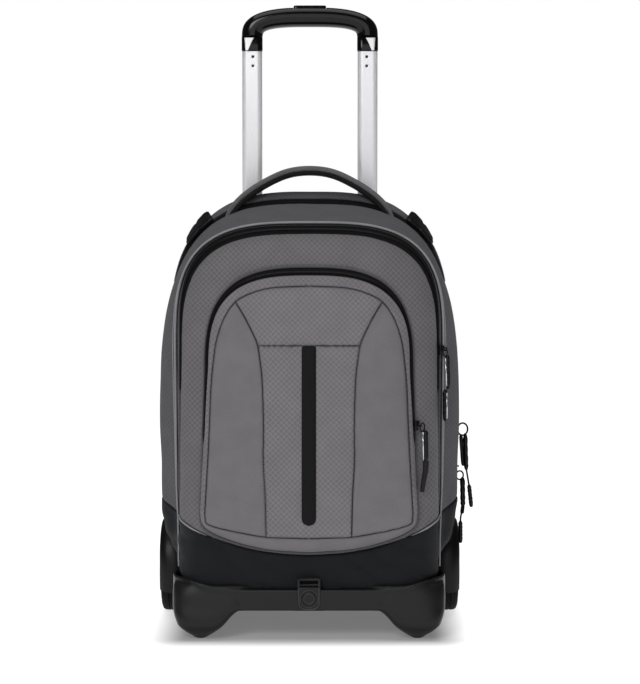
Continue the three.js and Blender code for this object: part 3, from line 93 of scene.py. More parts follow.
BAG_ROWS = np.array([
    # depth, half, top, spring, round, lowHalf, corner, lowRound
    [0.0, 0.79, 0.955, 0.596, 2.9, 0.76, 0.27, 3.6],
    [0.021, 0.855, 0.984, 0.596, 3.0, 0.83, 0.28, 4.0],
    [0.085, 0.891, 1.0, 0.596, 3.1, 0.88, 0.29, 4.2],
    [0.18, 0.935, 0.984, 0.56, 3.0, 0.93, 0.29, 4.2],
    [0.218, 0.956, 0.973, 0.531, 3.0, 0.95, 0.29, 4.2],
    [0.366, 1.0, 0.952, 0.377, 3.2, 0.992, 0.29, 4.2],
    [0.542, 0.989, 0.935, 0.377, 3.2, 0.975, 0.28, 4.2],
    [0.683, 0.925, 0.92, 0.487, 3.3, 0.875, 0.14, 4.6],
    [0.739, 0.86, 0.908, 0.596, 3.25, 0.853, 0.1, 9.0],
    [0.796, 0.8265, 0.885, 0.586, 3.2, 0.842, 0.1, 11.0],
    [0.873, 0.802, 0.874, 0.58, 3.1, 0.83, 0.1, 11.0],
    [0.944, 0.747, 0.852, 0.575, 3.0, 0.79, 0.1, 11.0],
    [0.986, 0.67, 0.82, 0.57, 2.9, 0.73, 0.1, 9.0],
    [1.0, 0.56, 0.775, 0.56, 2.8, 0.63, 0.1, 8.0],
])
POCKET_ROWS = np.array([
    # reach, half, top, spring, round, lowHalf, corner, base, rise, lowRound
    [0.0, 0.96, 1.0, 0.62, 2.9, 0.995, 0.15, 0.0, 0.075, 7],
    [0.24, 0.955, 0.997, 0.63, 2.9, 0.99, 0.15, 0.0, 0.075, 7],
    [0.38, 0.928, 0.973, 0.64, 2.9, 0.98, 0.16, 0.008, 0.075, 7],
    [0.55, 0.89, 0.95, 0.66, 2.85, 0.966, 0.17, 0.02, 0.072, 6],
    [0.8, 0.81, 0.922, 0.69, 2.75, 0.937, 0.19, 0.064, 0.064, 6],
    [0.9, 0.73, 0.88, 0.68, 2.6, 0.86, 0.22, 0.11, 0.06, 5],
    [0.97, 0.55, 0.78, 0.6, 2.4, 0.66, 0.3, 0.2, 0.04, 3.5],
    [1.0, 0.3, 0.62, 0.5, 2.2, 0.36, 0.36, 0.32, 0.02, 2.4],
])


# Small maths.
def step(edge0, edge1, x):
    t = np.clip((np.asarray(x, float) - edge0) / (edge1 - edge0), 0, 1)
    return t * t * (3 - 2 * t)


def monotone(x, y, at):
    """A smooth curve through the points that never overshoots them."""
    h = np.diff(x)
    slope = np.diff(y) / h
    m = np.zeros(len(x))
    m[0], m[-1] = slope[0], slope[-1]
    for i in range(1, len(x) - 1):
        a, b = slope[i - 1], slope[i]
        if a * b > 0:
            w1, w2 = 2 * h[i] + h[i - 1], h[i] + 2 * h[i - 1]
            m[i] = (w1 + w2) / (w1 / a + w2 / b)
    k = np.clip(np.searchsorted(x, at) - 1, 0, len(h) - 1)
    t = (at - x[k]) / h[k]
    h00, h10 = (1 + 2 * t) * (1 - t) ** 2, t * (1 - t) ** 2
    h01, h11 = t * t * (3 - 2 * t), t * t * (t - 1)
    return h00 * y[k] + h10 * h[k] * m[k] + h01 * y[k + 1] + h11 * h[k] * m[k + 1]


def through(points, count):
    """Catmull-Rom curve through a few points, as evenly spaced points."""
    p = np.array(points, float)
    p = np.vstack([2 * p[0] - p[1], p, 2 * p[-1] - p[-2]])
    out = []
    for i in range(1, len(p) - 2):
        t = np.linspace(0, 1, 24, endpoint=False)[:, None]
        a, b, c, d = p[i - 1], p[i], p[i + 1], p[i + 2]
        out.append(0.5 * (2 * b + (c - a) * t + (2 * a - 5 * b + 4 * c - d) * t * t
                          + (3 * b - a - 3 * c + d) * t**3))
    out.append(p[-2:-1])
    return evenly(np.vstack(out), count)


def evenly(points, count):
    run = np.concatenate([[0], np.cumsum(np.linalg.norm(np.diff(points, axis=0), axis=1))])
    at = np.linspace(0, run[-1], count)
    return np.stack([np.interp(at, run, points[:, k]) for k in range(points.shape[1])], 1)


def length_of(points):
    return float(np.linalg.norm(np.diff(points, axis=0), axis=1).sum())


def tangents(path):
    """Unit directions along a path"""
    along = np.gradient(path, axis=0)
    return along / np.linalg.norm(along, axis=1, keepdims=True)


def hem_at(x):
    return HEM_MIDDLE + HEM_RISE * np.abs(x / (BAG_WIDTH / 2)) ** HEM_POWER


def ripple(points, scale, seed):
    """Smooth random numbers from about -0.5 to 0.5, one for each point in mm."""
    flat = points.reshape(-1, 3) / scale
    return np.array([noise.noise(Vector(p) + Vector((seed, 0, 0)))
                     for p in flat]).reshape(points.shape[:-1])


# The bag's and the pocket's surfaces.
RING = 900


def ring_outline(half, top, spring, power, low_half, corner, base, rise, low_power):
    """One closed section as evenly spaced x, z points, from the bottom's middle round the right side."""
    a = np.linspace(0, math.pi / 2, 90)
    c, k = np.cos(a), np.sin(a)
    lx = low_half * c ** (2 / low_power)
    floor = base + rise * (lx / low_half) ** 2
    lower = np.stack([lx, corner - (corner - floor) * k ** (2 / low_power)], 1)[::-1]
    upper = np.stack([half * c ** (2 / power), spring + (top - spring) * k ** (2 / power)], 1)
    right = np.vstack([lower, upper])
    right[0, 0], right[-1, 0] = 0, 0
    right = evenly(right, RING // 2 + 1)
    ring = np.vstack([right, (right * [-1, 1])[-2:0:-1]])
    sigma = 5.0 / (length_of(right) / (RING // 2))
    offsets = np.arange(-20, 21)
    weights = np.exp(-((offsets / sigma) ** 2) / 2)
    weights /= weights.sum()
    return sum(w * np.roll(ring, int(o), axis=0) for w, o in zip(weights, offsets))


class Surface:
    """Sections joined smoothly along their depth. A point is asked for by run, in mm of surface from the
    first section, and turn, from 0 to 1 round the section."""

    def __init__(self, rows, depth, half, ring_of, depth_of, step_mm=1.2):
        widths = np.hypot(np.diff(rows[:, 0]) * depth, np.diff(rows[:, 1]) * half)
        run = np.concatenate([[0], np.cumsum(widths)])
        self.end = run[-1]
        self.runs = np.linspace(0, self.end, int(self.end / step_mm) + 2)
        columns = [monotone(run, rows[:, i], self.runs) for i in range(rows.shape[1])]
        self.shares = columns[0]
        table = []
        for values in zip(*columns):
            ring = ring_of(values)
            table.append(np.stack([ring[:, 0], depth_of(values[0], ring[:, 1]), ring[:, 1]], 1))
        self.table = np.array(table)

    def run_at(self, share):
        return np.interp(share, self.shares, self.runs)

    def at(self, run, turn):
        """The point at a run and a turn, in mm"""
        i = np.clip(np.asarray(run, float) / self.end, 0, 1) * (len(self.runs) - 1)
        i0 = np.clip(i.astype(int), 0, len(self.runs) - 2)
        fi = (i - i0)[..., None]
        j = (np.asarray(turn, float) % 1) * RING
        j0 = j.astype(int) % RING
        fj = (j - np.floor(j))[..., None]
        j1 = (j0 + 1) % RING
        t = self.table
        near = t[i0, j0] * (1 - fj) + t[i0, j1] * fj
        far = t[i0 + 1, j0] * (1 - fj) + t[i0 + 1, j1] * fj
        return near * (1 - fi) + far * fi


def bag_ring(v):
    _, half, top, spring, power, low_half, corner, low_power = v
    w, h = BAG_WIDTH / 2, BAG_HEIGHT
    return ring_outline(half * w, BAG_BOTTOM + top * h, BAG_BOTTOM + spring * h, power,
                        low_half * w, BAG_BOTTOM + corner * h, BAG_BOTTOM, 0, low_power)


def bag_depth(share, z):
    height = (z - BAG_BOTTOM) / BAG_HEIGHT
    return BACK_FACE - share * BAG_DEPTH - LOW_BULGE * min(share, 1) ** 3 * (1 - height)


def pocket_ring(v):
    _, half, top, spring, power, low_half, corner, base, rise, low_power = v
    w, h = POCKET_WIDTH / 2, POCKET_HEIGHT
    return ring_outline(half * w, HEM_MIDDLE + top * h, HEM_MIDDLE + spring * h, power,
                        low_half * w, HEM_MIDDLE + corner * h, HEM_MIDDLE + base * h, rise * h, low_power)


def pocket_depth(reach, z):
    height = (z - BAG_BOTTOM) / BAG_HEIGHT
    return BACK_FACE - POCKET_ROOT - reach * POCKET_DEPTH - LOW_BULGE * (1 - height)


bag = Surface(BAG_ROWS, BAG_DEPTH, BAG_WIDTH / 2, bag_ring, bag_depth)
pocket = Surface(POCKET_ROWS, POCKET_DEPTH, POCKET_WIDTH / 2, pocket_ring, pocket_depth)


# Materials.
def shader(name):
    """An empty material with one Principled shader"""
    material = bpy.data.materials.new(name)
    material.use_nodes = True
    tree = material.node_tree
    tree.nodes.clear()
    out = tree.nodes.new("ShaderNodeOutputMaterial")
    principled = tree.nodes.new("ShaderNodeBsdfPrincipled")
    tree.links.new(principled.outputs[0], out.inputs[0])
    return material, tree, principled


def node(tree, kind, links=None, **values):
    """Adds a node. links holds its sockets by name or number, and values holds its settings."""
    made = tree.nodes.new("ShaderNode" + kind)
    for key, value in values.items():
        setattr(made, key, value)
    for key, value in (links or {}).items():
        if isinstance(value, bpy.types.NodeSocket):
            tree.links.new(value, made.inputs[key])
        else:
            made.inputs[key].default_value = value
    return made


def maths(tree, operation, a, b=0.0, c=0.0):
    return node(tree, "Math", {0: a, 1: b, 2: c}, operation=operation).outputs[0]


def ramp(tree, value, low, high, to_low, to_high):
    made = node(tree, "MapRange", {0: value, 1: low, 2: high, 3: to_low, 4: to_high})
    made.interpolation_type = "SMOOTHSTEP"
    return made.outputs[0]


def linear(srgb):
    return [c / 12.92 if c <= 0.04045 else ((c + 0.055) / 1.055) ** 2.4 for c in (v / 255 for v in srgb)]


def tint(tree, colour, factor):
    """colour times a factor that varies over the surface"""
    mix = node(tree, "Mix", data_type="RGBA", blend_type="MULTIPLY")
    mix.inputs[0].default_value = 1
    mix.inputs[6].default_value = (*colour, 1)
    grey = node(tree, "CombineColor", {0: factor, 1: factor, 2: factor})
    tree.links.new(grey.outputs[0], mix.inputs[7])
    return mix.outputs[2]


def cloth(name, srgb, weave=0.0009, ripstop=0.0, diamond=0.0062, rough=0.82, sheen=0.03, bump=0.5,
          mottle=0.1, specular=0.18):
    """Woven cloth: two thread directions, mottling, where asked the raised diamonds of ripstop, and
    painted shade darkening its colour along seams and panel edges.
    """
    material, tree, principled = shader(name)
    place = node(tree, "UVMap", uv_map="cloth").outputs[0]
    split = node(tree, "SeparateXYZ", {0: place}).outputs
    threads = []
    for axis in (0, 1):
        wave = maths(tree, "SINE", maths(tree, "MULTIPLY", split[axis], 2 * math.pi / weave))
        threads.append(wave)
    checks = maths(tree, "MULTIPLY", threads[0], threads[1])
    height = ramp(tree, checks, -1, 1, 0, 1)
    cloud = node(tree, "TexNoise", {"Vector": place, "Scale": 900.0, "Detail": 3.0})
    big = node(tree, "TexNoise", {"Vector": place, "Scale": 35.0, "Detail": 4.0})
    shade = maths(tree, "ADD", ramp(tree, cloud.outputs[0], 0.3, 0.7, 1 - mottle, 1 + mottle),
                  ramp(tree, big.outputs[0], 0.3, 0.7, -0.05, 0.05))
    shade = maths(tree, "MULTIPLY", shade, ramp(tree, height, 0, 1, 0.94, 1.04))
    if ripstop:
        lines = None
        for sign in (1, -1):
            slanted = maths(tree, "ADD", split[0], maths(tree, "MULTIPLY", split[1], sign))
            near = maths(tree, "PINGPONG", maths(tree, "DIVIDE", slanted, diamond), 0.5)
            line = ramp(tree, near, 0.0, 0.11, 1, 0)
            lines = line if lines is None else maths(tree, "MAXIMUM", lines, line)
        shade = maths(tree, "MULTIPLY", shade, ramp(tree, lines, 0, 1, 1 - 0.25 * ripstop, 1 + ripstop))
        height = maths(tree, "ADD", maths(tree, "MULTIPLY", height, 0.4), lines)
    # painted shade: a point attribute darkens the colour by up to half along seams and panel edges
    painted_crease_shade = node(tree, "Attribute", attribute_name="painted_crease_shade").outputs["Fac"]
    shade = maths(tree, "MULTIPLY", shade, ramp(tree, painted_crease_shade, 0, 1, 1, 0.5))
    tree.links.new(tint(tree, linear(srgb), shade), principled.inputs["Base Color"])
    relief = node(tree, "Bump", {"Height": height, "Strength": bump, "Distance": 0.0004})
    tree.links.new(relief.outputs[0], principled.inputs["Normal"])
    principled.inputs["Roughness"].default_value = rough
    principled.inputs["Sheen Weight"].default_value = sheen
    principled.inputs["Sheen Roughness"].default_value = 0.5
    principled.inputs["Specular IOR Level"].default_value = specular
    return material


def plastic(name, srgb, rough=0.45, grain=0.3, scale=900.0, coat=0.0, wear=0.15, specular=0.2):
    """Moulded plastic with a fine grain, and a little paler where edges rub"""
    material, tree, principled = shader(name)
    place = node(tree, "TexCoord").outputs["Object"]
    fine = node(tree, "TexNoise", {"Vector": place, "Scale": scale, "Detail": 2.0})
    big = node(tree, "TexNoise", {"Vector": place, "Scale": 14.0, "Detail": 3.0})
    edge = node(tree, "NewGeometry").outputs["Pointiness"]
    shade = maths(tree, "ADD", ramp(tree, big.outputs[0], 0.3, 0.7, 0.92, 1.08),
                  ramp(tree, edge, 0.52, 0.6, 0, wear))
    tree.links.new(tint(tree, linear(srgb), shade), principled.inputs["Base Color"])
    tree.links.new(ramp(tree, fine.outputs[0], 0.3, 0.7, rough * 0.88, rough * 1.12),
                   principled.inputs["Roughness"])
    relief = node(tree, "Bump", {"Height": fine.outputs[0], "Strength": grain, "Distance": 0.0002})
    tree.links.new(relief.outputs[0], principled.inputs["Normal"])
    principled.inputs["Specular IOR Level"].default_value = specular
    principled.inputs["Coat Weight"].default_value = coat
    principled.inputs["Coat Roughness"].default_value = 0.08
    return material


def metal(name, srgb, rough=0.3, brush=(40.0, 40.0, 3.0), metallic=0.8):
    """Brushed metal"""
    material, tree, principled = shader(name)
    place = node(tree, "TexCoord").outputs["Object"]
    stretched = node(tree, "Mapping", {0: place, 3: brush})
    fine = node(tree, "TexNoise", {"Vector": stretched.outputs[0], "Scale": 30.0, "Detail": 3.0})
    shade = ramp(tree, fine.outputs[0], 0.3, 0.7, 0.95, 1.03)
    tree.links.new(tint(tree, linear(srgb), shade), principled.inputs["Base Color"])
    tree.links.new(ramp(tree, fine.outputs[0], 0.3, 0.7, rough * 0.85, rough * 1.15),
                   principled.inputs["Roughness"])
    relief = node(tree, "Bump", {"Height": fine.outputs[0], "Strength": 0.06, "Distance": 0.0001})
    tree.links.new(relief.outputs[0], principled.inputs["Normal"])
    principled.inputs["Metallic"].default_value = metallic
    return material


GREY = cloth("grey_cloth", (80, 79, 82), ripstop=0.34)
GREY_PLAIN = cloth("grey_plain", (92, 91, 93))
# a darker copy of the face cloth for the front compartment: painted shade
FACE_SHADED = cloth("face_cloth_painted_shade", (97, 95, 97), ripstop=0.42, rough=0.75)
FACE = cloth("face_cloth", (109, 106, 109), ripstop=0.42, rough=0.75)
FACE_PLAIN = cloth("face_plain", (107, 105, 108), rough=0.72)
BLACK = cloth("black_cloth", (23, 24, 27), mottle=0.18)
TAPE = cloth("zip_tape", (8, 8, 9), weave=0.0012, rough=0.8, specular=0.1)
STRIPE = cloth("stripe_cloth", (9, 9, 10), weave=0.0016, ripstop=1.2, diamond=0.005, rough=0.7,
               specular=0.15)
WEBBING = cloth("webbing", (12, 12, 13), weave=0.0022, rough=0.75, bump=0.9)
PIPING = cloth("piping_cloth", (132, 132, 135), weave=0.0012, rough=0.6)
# near-black cloth for the cords in seams and beside piping: painted shade of their grooves
SEAM_SHADE = cloth("painted_seam_shade", (26, 26, 28), weave=0.0012, rough=0.9)
THREAD = cloth("thread", (122, 121, 124), weave=0.0006, rough=0.6)
BASE = plastic("base_plastic", (20, 20, 21), rough=0.4, grain=0.25, specular=0.22)
# a darker copy of the base plastic for the wheel housings: painted shade under the bag
FENDER_SHADED = plastic("housing_plastic_painted_shade", (10, 10, 11), rough=0.38, grain=0.2, specular=0.2)
# a paler copy of the base plastic for the latch's rim and rings: painted highlight
RIM_LIT = plastic("latch_plastic_painted_highlight", (46, 46, 48), rough=0.35, grain=0.1, specular=0.3)
GLOSS = plastic("grip_plastic", (5, 5, 6), rough=0.16, grain=0.02, coat=0.05, wear=0.0, specular=0.2)
BUCKLE = plastic("buckle_plastic", (7, 7, 8), rough=0.35, grain=0.1, wear=0.05)
RUBBER = plastic("tyre", (14, 14, 15), rough=0.75, grain=0.5, scale=500.0, specular=0.12)
ALUMINIUM = metal("aluminium", (214, 214, 216), rough=0.42, metallic=0.45)
BRIGHT = metal("bright_metal", (200, 200, 203), rough=0.2, brush=(20.0, 20.0, 20.0))
PULL = metal("zip_metal", (30, 30, 32), rough=0.35, brush=(20.0, 20.0, 20.0))


# Mesh helpers.
def add_mesh(name, points, faces, material, body, uv=None, painted_crease_shade=None, smooth=True):
    """points in mm. uv has one pair for each point, in mm of cloth."""
    mesh = bpy.data.meshes.new(name)
    mesh.from_pydata((np.asarray(points, float).reshape(-1, 3) * MM).tolist(), [],
                     [list(map(int, f)) for f in faces])
    mesh.update()
    if uv is not None:
        layer = mesh.uv_layers.new(name="cloth")
        corner = np.zeros(len(mesh.loops), int)
        mesh.loops.foreach_get("vertex_index", corner)
        layer.data.foreach_set("uv", (np.asarray(uv, float).reshape(-1, 2)[corner] * MM).ravel())
    # painted shade: one value from 0 to 1 for each point, by which the cloth's colour darkens along seams
    if painted_crease_shade is not None:
        attribute = mesh.attributes.new("painted_crease_shade", "FLOAT", "POINT")
        attribute.data.foreach_set("value", np.asarray(painted_crease_shade, np.float32).ravel())
    if smooth:
        mesh.polygons.foreach_set("use_smooth", [True] * len(mesh.polygons))
    mesh.materials.append(material)
    piece = bpy.data.objects.new(name, mesh)
    bpy.context.scene.collection.objects.link(piece)
    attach(piece, body)
    return piece


def outward(piece):
    """Turns the faces of a closed mesh so that they point out"""
    work = bmesh.new()
    work.from_mesh(piece.data)
    bmesh.ops.recalc_face_normals(work, faces=work.faces)
    work.to_mesh(piece.data)
    work.free()


def grid_faces(rows, columns, wrap=False):
    i, j = np.meshgrid(np.arange(rows - 1), np.arange(columns if wrap else columns - 1), indexing="ij")
    k = (j + 1) % columns
    return np.stack([i * columns + j, i * columns + k, (i + 1) * columns + k, (i + 1) * columns + j],
                    -1).reshape(-1, 4)


def closed_faces(rows, columns):
    """Faces of a skin of rings, with one flat face over its first ring and one over its last"""
    faces = grid_faces(rows, columns, wrap=True).tolist()
    faces.append(list(range(columns))[::-1])
    faces.append([(rows - 1) * columns + i for i in range(columns)])
    return faces


def grid_uv(points):
    """Cloth coordinates of a grid: mm along each of its two directions"""
    across = np.linalg.norm(np.diff(points, axis=1), axis=2)
    down = np.linalg.norm(np.diff(points, axis=0), axis=2)
    u = np.concatenate([np.zeros((len(points), 1)), np.cumsum(across, axis=1)], 1)
    v = np.concatenate([np.zeros((1, points.shape[1])), np.cumsum(down, axis=0)], 0)
    u = u - u[:, [points.shape[1] // 2]]
    return np.stack([u, v], -1)


def grid_normals(points, wrap=False):
    """Unit normals of a grid of points"""
    if wrap:
        across = np.roll(points, -1, axis=1) - np.roll(points, 1, axis=1)
    else:
        across = np.gradient(points, axis=1)
    down = np.gradient(points, axis=0)
    normal = np.cross(across, down)
    size = np.linalg.norm(normal, axis=2, keepdims=True)
    return normal / np.maximum(size, 1e-9)


def solidify(piece, thickness, offset=-1):
    change = piece.modifiers.new("thickness", "SOLIDIFY")
    change.thickness = thickness * MM
    change.offset = offset
    change.use_even_offset = False
    return piece


def by_edges(length, fine=0.8, coarse=4.0, reach=8.0):
    """Places from 0 to length, close together near both ends"""
    places, x = [0.0], 0.0
    while x < length:
        near = min(x, length - x)
        x += fine + (coarse - fine) * min(max(near, 0) / reach, 1)
        places.append(x)
    return np.array(places) * (length / places[-1])


def housing_room(points):
    """Moves cloth in from where the wheel housings stand."""
    x, y, z = points[..., 0], points[..., 1], points[..., 2]
    grow = 1.4
    deep, tall = HOUSING_HALF_DEPTH + grow, HOUSING_TOP - WHEEL_HEIGHT + grow
    inside = 1 - (np.abs(y - WHEEL_DEPTH) / deep) ** 2.3 - (np.maximum(z - WHEEL_HEIGHT, 0) / tall) ** 2.3
    limit = HOUSING_INNER - grow + 40 * step(0, -0.12, inside)
    points[..., 0] = np.sign(x) * np.minimum(np.abs(x), limit)
    return points


def hem_turns(run):
    """Where a section of the bag crosses the hem: turns on the right and on the left"""
    turn = np.linspace(0, 0.5, 600)
    p = bag.at(np.full(600, run), turn)
    below = p[:, 2] < hem_at(p[:, 0])
    k = int(np.nonzero(below)[0][-1])
    a = p[k, 2] - hem_at(p[k, 0])
    b = p[k + 1, 2] - hem_at(p[k + 1, 0])
    right = turn[k] + (turn[k + 1] - turn[k]) * a / (a - b)
    return right, 1 - right


def bag_sheet(runs, columns, lower, fan_start=False, fan_end=False, shift=None):
    """Grid of points on the bag's surface, above the hem or below it. A fan closes a flat end."""
    rows = []
    for run in runs:
        right, left = hem_turns(run)
        turns = np.linspace(left - 1, right, columns) if lower else np.linspace(right, left, columns)
        here = np.full(columns, run)
        if shift is not None:
            here = here + shift(run, bag.at(here, turns))
        rows.append(bag.at(here, turns))

    def fan(edge, front):
        x = np.linspace(edge[0, 0], edge[-1, 0], columns)
        z = hem_at(x)
        y = bag_depth(1.0, z) if front else np.full(columns, BACK_FACE, float)
        inner = np.stack([x, y, z], 1)
        return [inner + (edge - inner) * k for k in np.linspace(0, 1, 14)[:-1]]

    first, last = rows[0], rows[-1]
    if fan_start:
        rows = fan(first, False) + rows
    if fan_end:
        rows = rows + fan(last, True)[::-1]
    return np.array(rows)


# Soft bag.
def edge_dip(points, depth=1.2, width=1.8):
    """The outer rows of a panel turn down into the seam."""
    down = np.linalg.norm(np.diff(points, axis=0), axis=2).mean(1)
    place = np.concatenate([[0], np.cumsum(down)])
    near = np.minimum(place, place[-1] - place)
    return depth * np.exp(-((near / width) ** 2)), near


def panel(name, points, material, body="bag_and_frame", replaces=(), seed=1.0,
          dip=1.2, wave=0.5, thickness=1.6, pucker=0.35, hem_dip=True, folds=0.0, flat=False):
    """A sewn cloth panel: its edges turn in, its face waves, folds and puckers a little, and its colour
    darkens along its edges as painted shade
    """
    normal = grid_normals(points)
    drop, near = edge_dip(points, dip)
    off = -drop[:, None] + wave * ripple(points, 45.0, seed)
    if folds:
        slanted = points @ np.array([[1.0, 0, 0.5], [0, 1.0, 0], [-0.35, 0, 2.4]])
        off = off + folds * np.abs(ripple(slanted, 52.0, seed + 4)) - folds * 0.2
    off = off + pucker * ripple(points, 7.0, seed + 9) * np.exp(-(near / 9.0))[:, None]
    # painted shade along the panel's edges, and along its side ends where hem_dip is set
    painted_crease_shade = np.repeat(np.exp(-((near / 1.6) ** 2))[:, None], points.shape[1], 1)
    if hem_dip:
        along = np.linalg.norm(np.diff(points, axis=1), axis=2)
        run = np.concatenate([np.zeros((len(points), 1)), np.cumsum(along, axis=1)], 1)
        side = np.minimum(run, run[:, -1:] - run)
        off = off - dip * np.exp(-((side / 1.8) ** 2))
        painted_crease_shade = np.maximum(painted_crease_shade, np.exp(-((side / 1.6) ** 2)))
    moved = points + normal * off[..., None]
    uv = points[..., [0, 2]] if flat else grid_uv(points)
    piece = add_mesh(name, moved, grid_faces(*points.shape[:2]), material, body, uv, painted_crease_shade)
    solidify(piece, thickness)
    if replaces:
        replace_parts(piece, *replaces)
    return piece


def zip_edge(depth, end, width, sign):
    """Shift of a panel's edge row: beside the zip it stops short by half the tape's width."""
    middle = bag.run_at(depth / BAG_DEPTH)

    def shift(run, points):
        near = np.exp(-abs(run - middle) / 14.0)
        z = points[:, 2]
        opening = width * (0.5 + 0.5 * step(330, 440, z)) * step(end - 10, end + 6, z)
        return sign * opening / 2 * near

    return shift


def build_bag():
    """The four shells of the bag, parted at the zips and at the hem"""
    rear_run = float(bag.run_at(REAR_ZIP_DEPTH / BAG_DEPTH))
    main_run = float(bag.run_at(MAIN_ZIP_DEPTH / BAG_DEPTH))
    columns = 300

    def spread(a, b):
        return a + by_edges(b - a)

    rear = bag_sheet(spread(0, rear_run), columns, False, fan_start=True,
                     shift=zip_edge(REAR_ZIP_DEPTH, REAR_ZIP_END, ZIP_SHOWN, -1))
    panel("rear_shell", housing_room(rear), GREY, replaces=["rear_compartment"], seed=2)
    back = zip_edge(REAR_ZIP_DEPTH, REAR_ZIP_END, ZIP_SHOWN, 1)
    front = zip_edge(MAIN_ZIP_DEPTH, MAIN_ZIP_END, ZIP_SHOWN, -1)
    gusset = bag_sheet(spread(rear_run, main_run), columns, False,
                       shift=lambda run, points: back(run, points) + front(run, points))
    panel("gusset_shell", housing_room(gusset), GREY, replaces=["main_gusset"], seed=3)
    face = bag_sheet(spread(main_run, bag.end), columns, False, fan_end=True,
                     shift=zip_edge(MAIN_ZIP_DEPTH, MAIN_ZIP_END, ZIP_SHOWN, 1))
    panel("front_shell", face, FACE_SHADED, replaces=["front_compartment"], seed=4,
          flat=True)
    low = bag_sheet(spread(0, bag.end), 200, True, fan_start=True, fan_end=True)
    panel("boot_shell", housing_room(low), BLACK, replaces=["boot"], seed=5,
          wave=0.9, folds=3.4)


def zip_strip(name, surface, run, width, end, replaces):
    """Tape with its chain in the middle, on a section of a surface, above a height"""
    turn = np.linspace(0, 0.5, 900)
    p = surface.at(np.full(900, run), turn)
    k = int(np.nonzero(p[:, 2] < end)[0][-1])
    first = turn[k + 1]
    length = length_of(surface.at(np.full(400, run), np.linspace(first, 1 - first, 400)))
    columns = int(length / 2.5)
    turns = np.linspace(first, 1 - first, columns)
    across = np.linspace(-width / 2 - 1.2, width / 2 + 1.2, 13)
    points = np.array([surface.at(np.full(columns, run + a), turns) for a in across])
    normal = grid_normals(points)
    lift = -1.5 + 1.2 * np.exp(-((across / 1.5) ** 2))
    moved = points + normal * lift[:, None, None]
    piece = add_mesh(name, moved, grid_faces(13, columns), TAPE, "bag_and_frame",
                     grid_uv(points))
    solidify(piece, 0.9)
    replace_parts(piece, replaces)
    # teeth: small bars across the chain
    count = int(length / 1.7)
    turns = np.linspace(first, 1 - first, count)
    middle = surface.at(np.full(count, run), turns)
    ahead = surface.at(np.full(count, run), turns + 0.0005) - middle
    side = surface.at(np.full(count, run + 0.5), turns) - middle
    unit = lambda v: v / np.linalg.norm(v, axis=1, keepdims=True)
    ahead, side = unit(ahead), unit(side)
    up = unit(np.cross(ahead, side))
    corners = []
    for sx in (-1, 1):
        for sy in (-1, 1):
            for sz in (0, 1):
                slim = 0.75 if sz else 1
                at = middle + side * (sx * 1.35 * slim) + ahead * (sy * 0.42 * slim)
                corners.append(at + up * (-0.5 + 0.75 * sz))
    block = np.stack(corners, 1)
    quads = np.array([[0, 1, 3, 2], [4, 6, 7, 5], [0, 4, 5, 1], [2, 3, 7, 6], [0, 2, 6, 4], [1, 5, 7, 3]])
    faces = (quads[None] + 8 * np.arange(count)[:, None, None]).reshape(-1, 4)
    teeth = add_mesh(name + "_teeth", block, faces, BUCKLE, "bag_and_frame", smooth=False)
    return piece, teeth


def build_zips():
    """The three zips: rear, main and pocket"""
    rear_run = float(bag.run_at(REAR_ZIP_DEPTH / BAG_DEPTH))
    main_run = float(bag.run_at(MAIN_ZIP_DEPTH / BAG_DEPTH))
    pocket_run = float(pocket.run_at(POCKET_ZIP_REACH / POCKET_DEPTH))
    zip_strip("rear_zip_tape", bag, rear_run, ZIP_SHOWN, REAR_ZIP_END, "rear_zip")
    zip_strip("main_zip_tape", bag, main_run, ZIP_SHOWN, MAIN_ZIP_END, "main_zip")
    zip_strip("pocket_zip_tape", pocket, pocket_run, POCKET_ZIP_SHOWN, POCKET_ZIP_END, "pocket_zip")


def tube(name, path, radius, material, body="bag_and_frame", sides=10, replaces=()):
    """A round cord along a path of points in mm, with closed ends"""
    path = np.asarray(path, float)
    along = tangents(path)
    normal = np.cross(along[0], [0.3, 0.5, 0.8])
    rings = []
    angles = np.linspace(0, 2 * math.pi, sides, endpoint=False)
    for p, t, radius in zip(path, along, np.broadcast_to(radius, len(path))):
        normal = normal - t * np.dot(normal, t)
        normal /= np.linalg.norm(normal)
        other = np.cross(t, normal)
        rings.append(p + radius * (np.cos(angles)[:, None] * normal + np.sin(angles)[:, None] * other))
    points = np.array(rings)
    faces = closed_faces(len(path), sides)
    piece = add_mesh(name, points, faces, material, body, grid_uv(points))
    if replaces:
        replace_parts(piece, *replaces)
    return piece


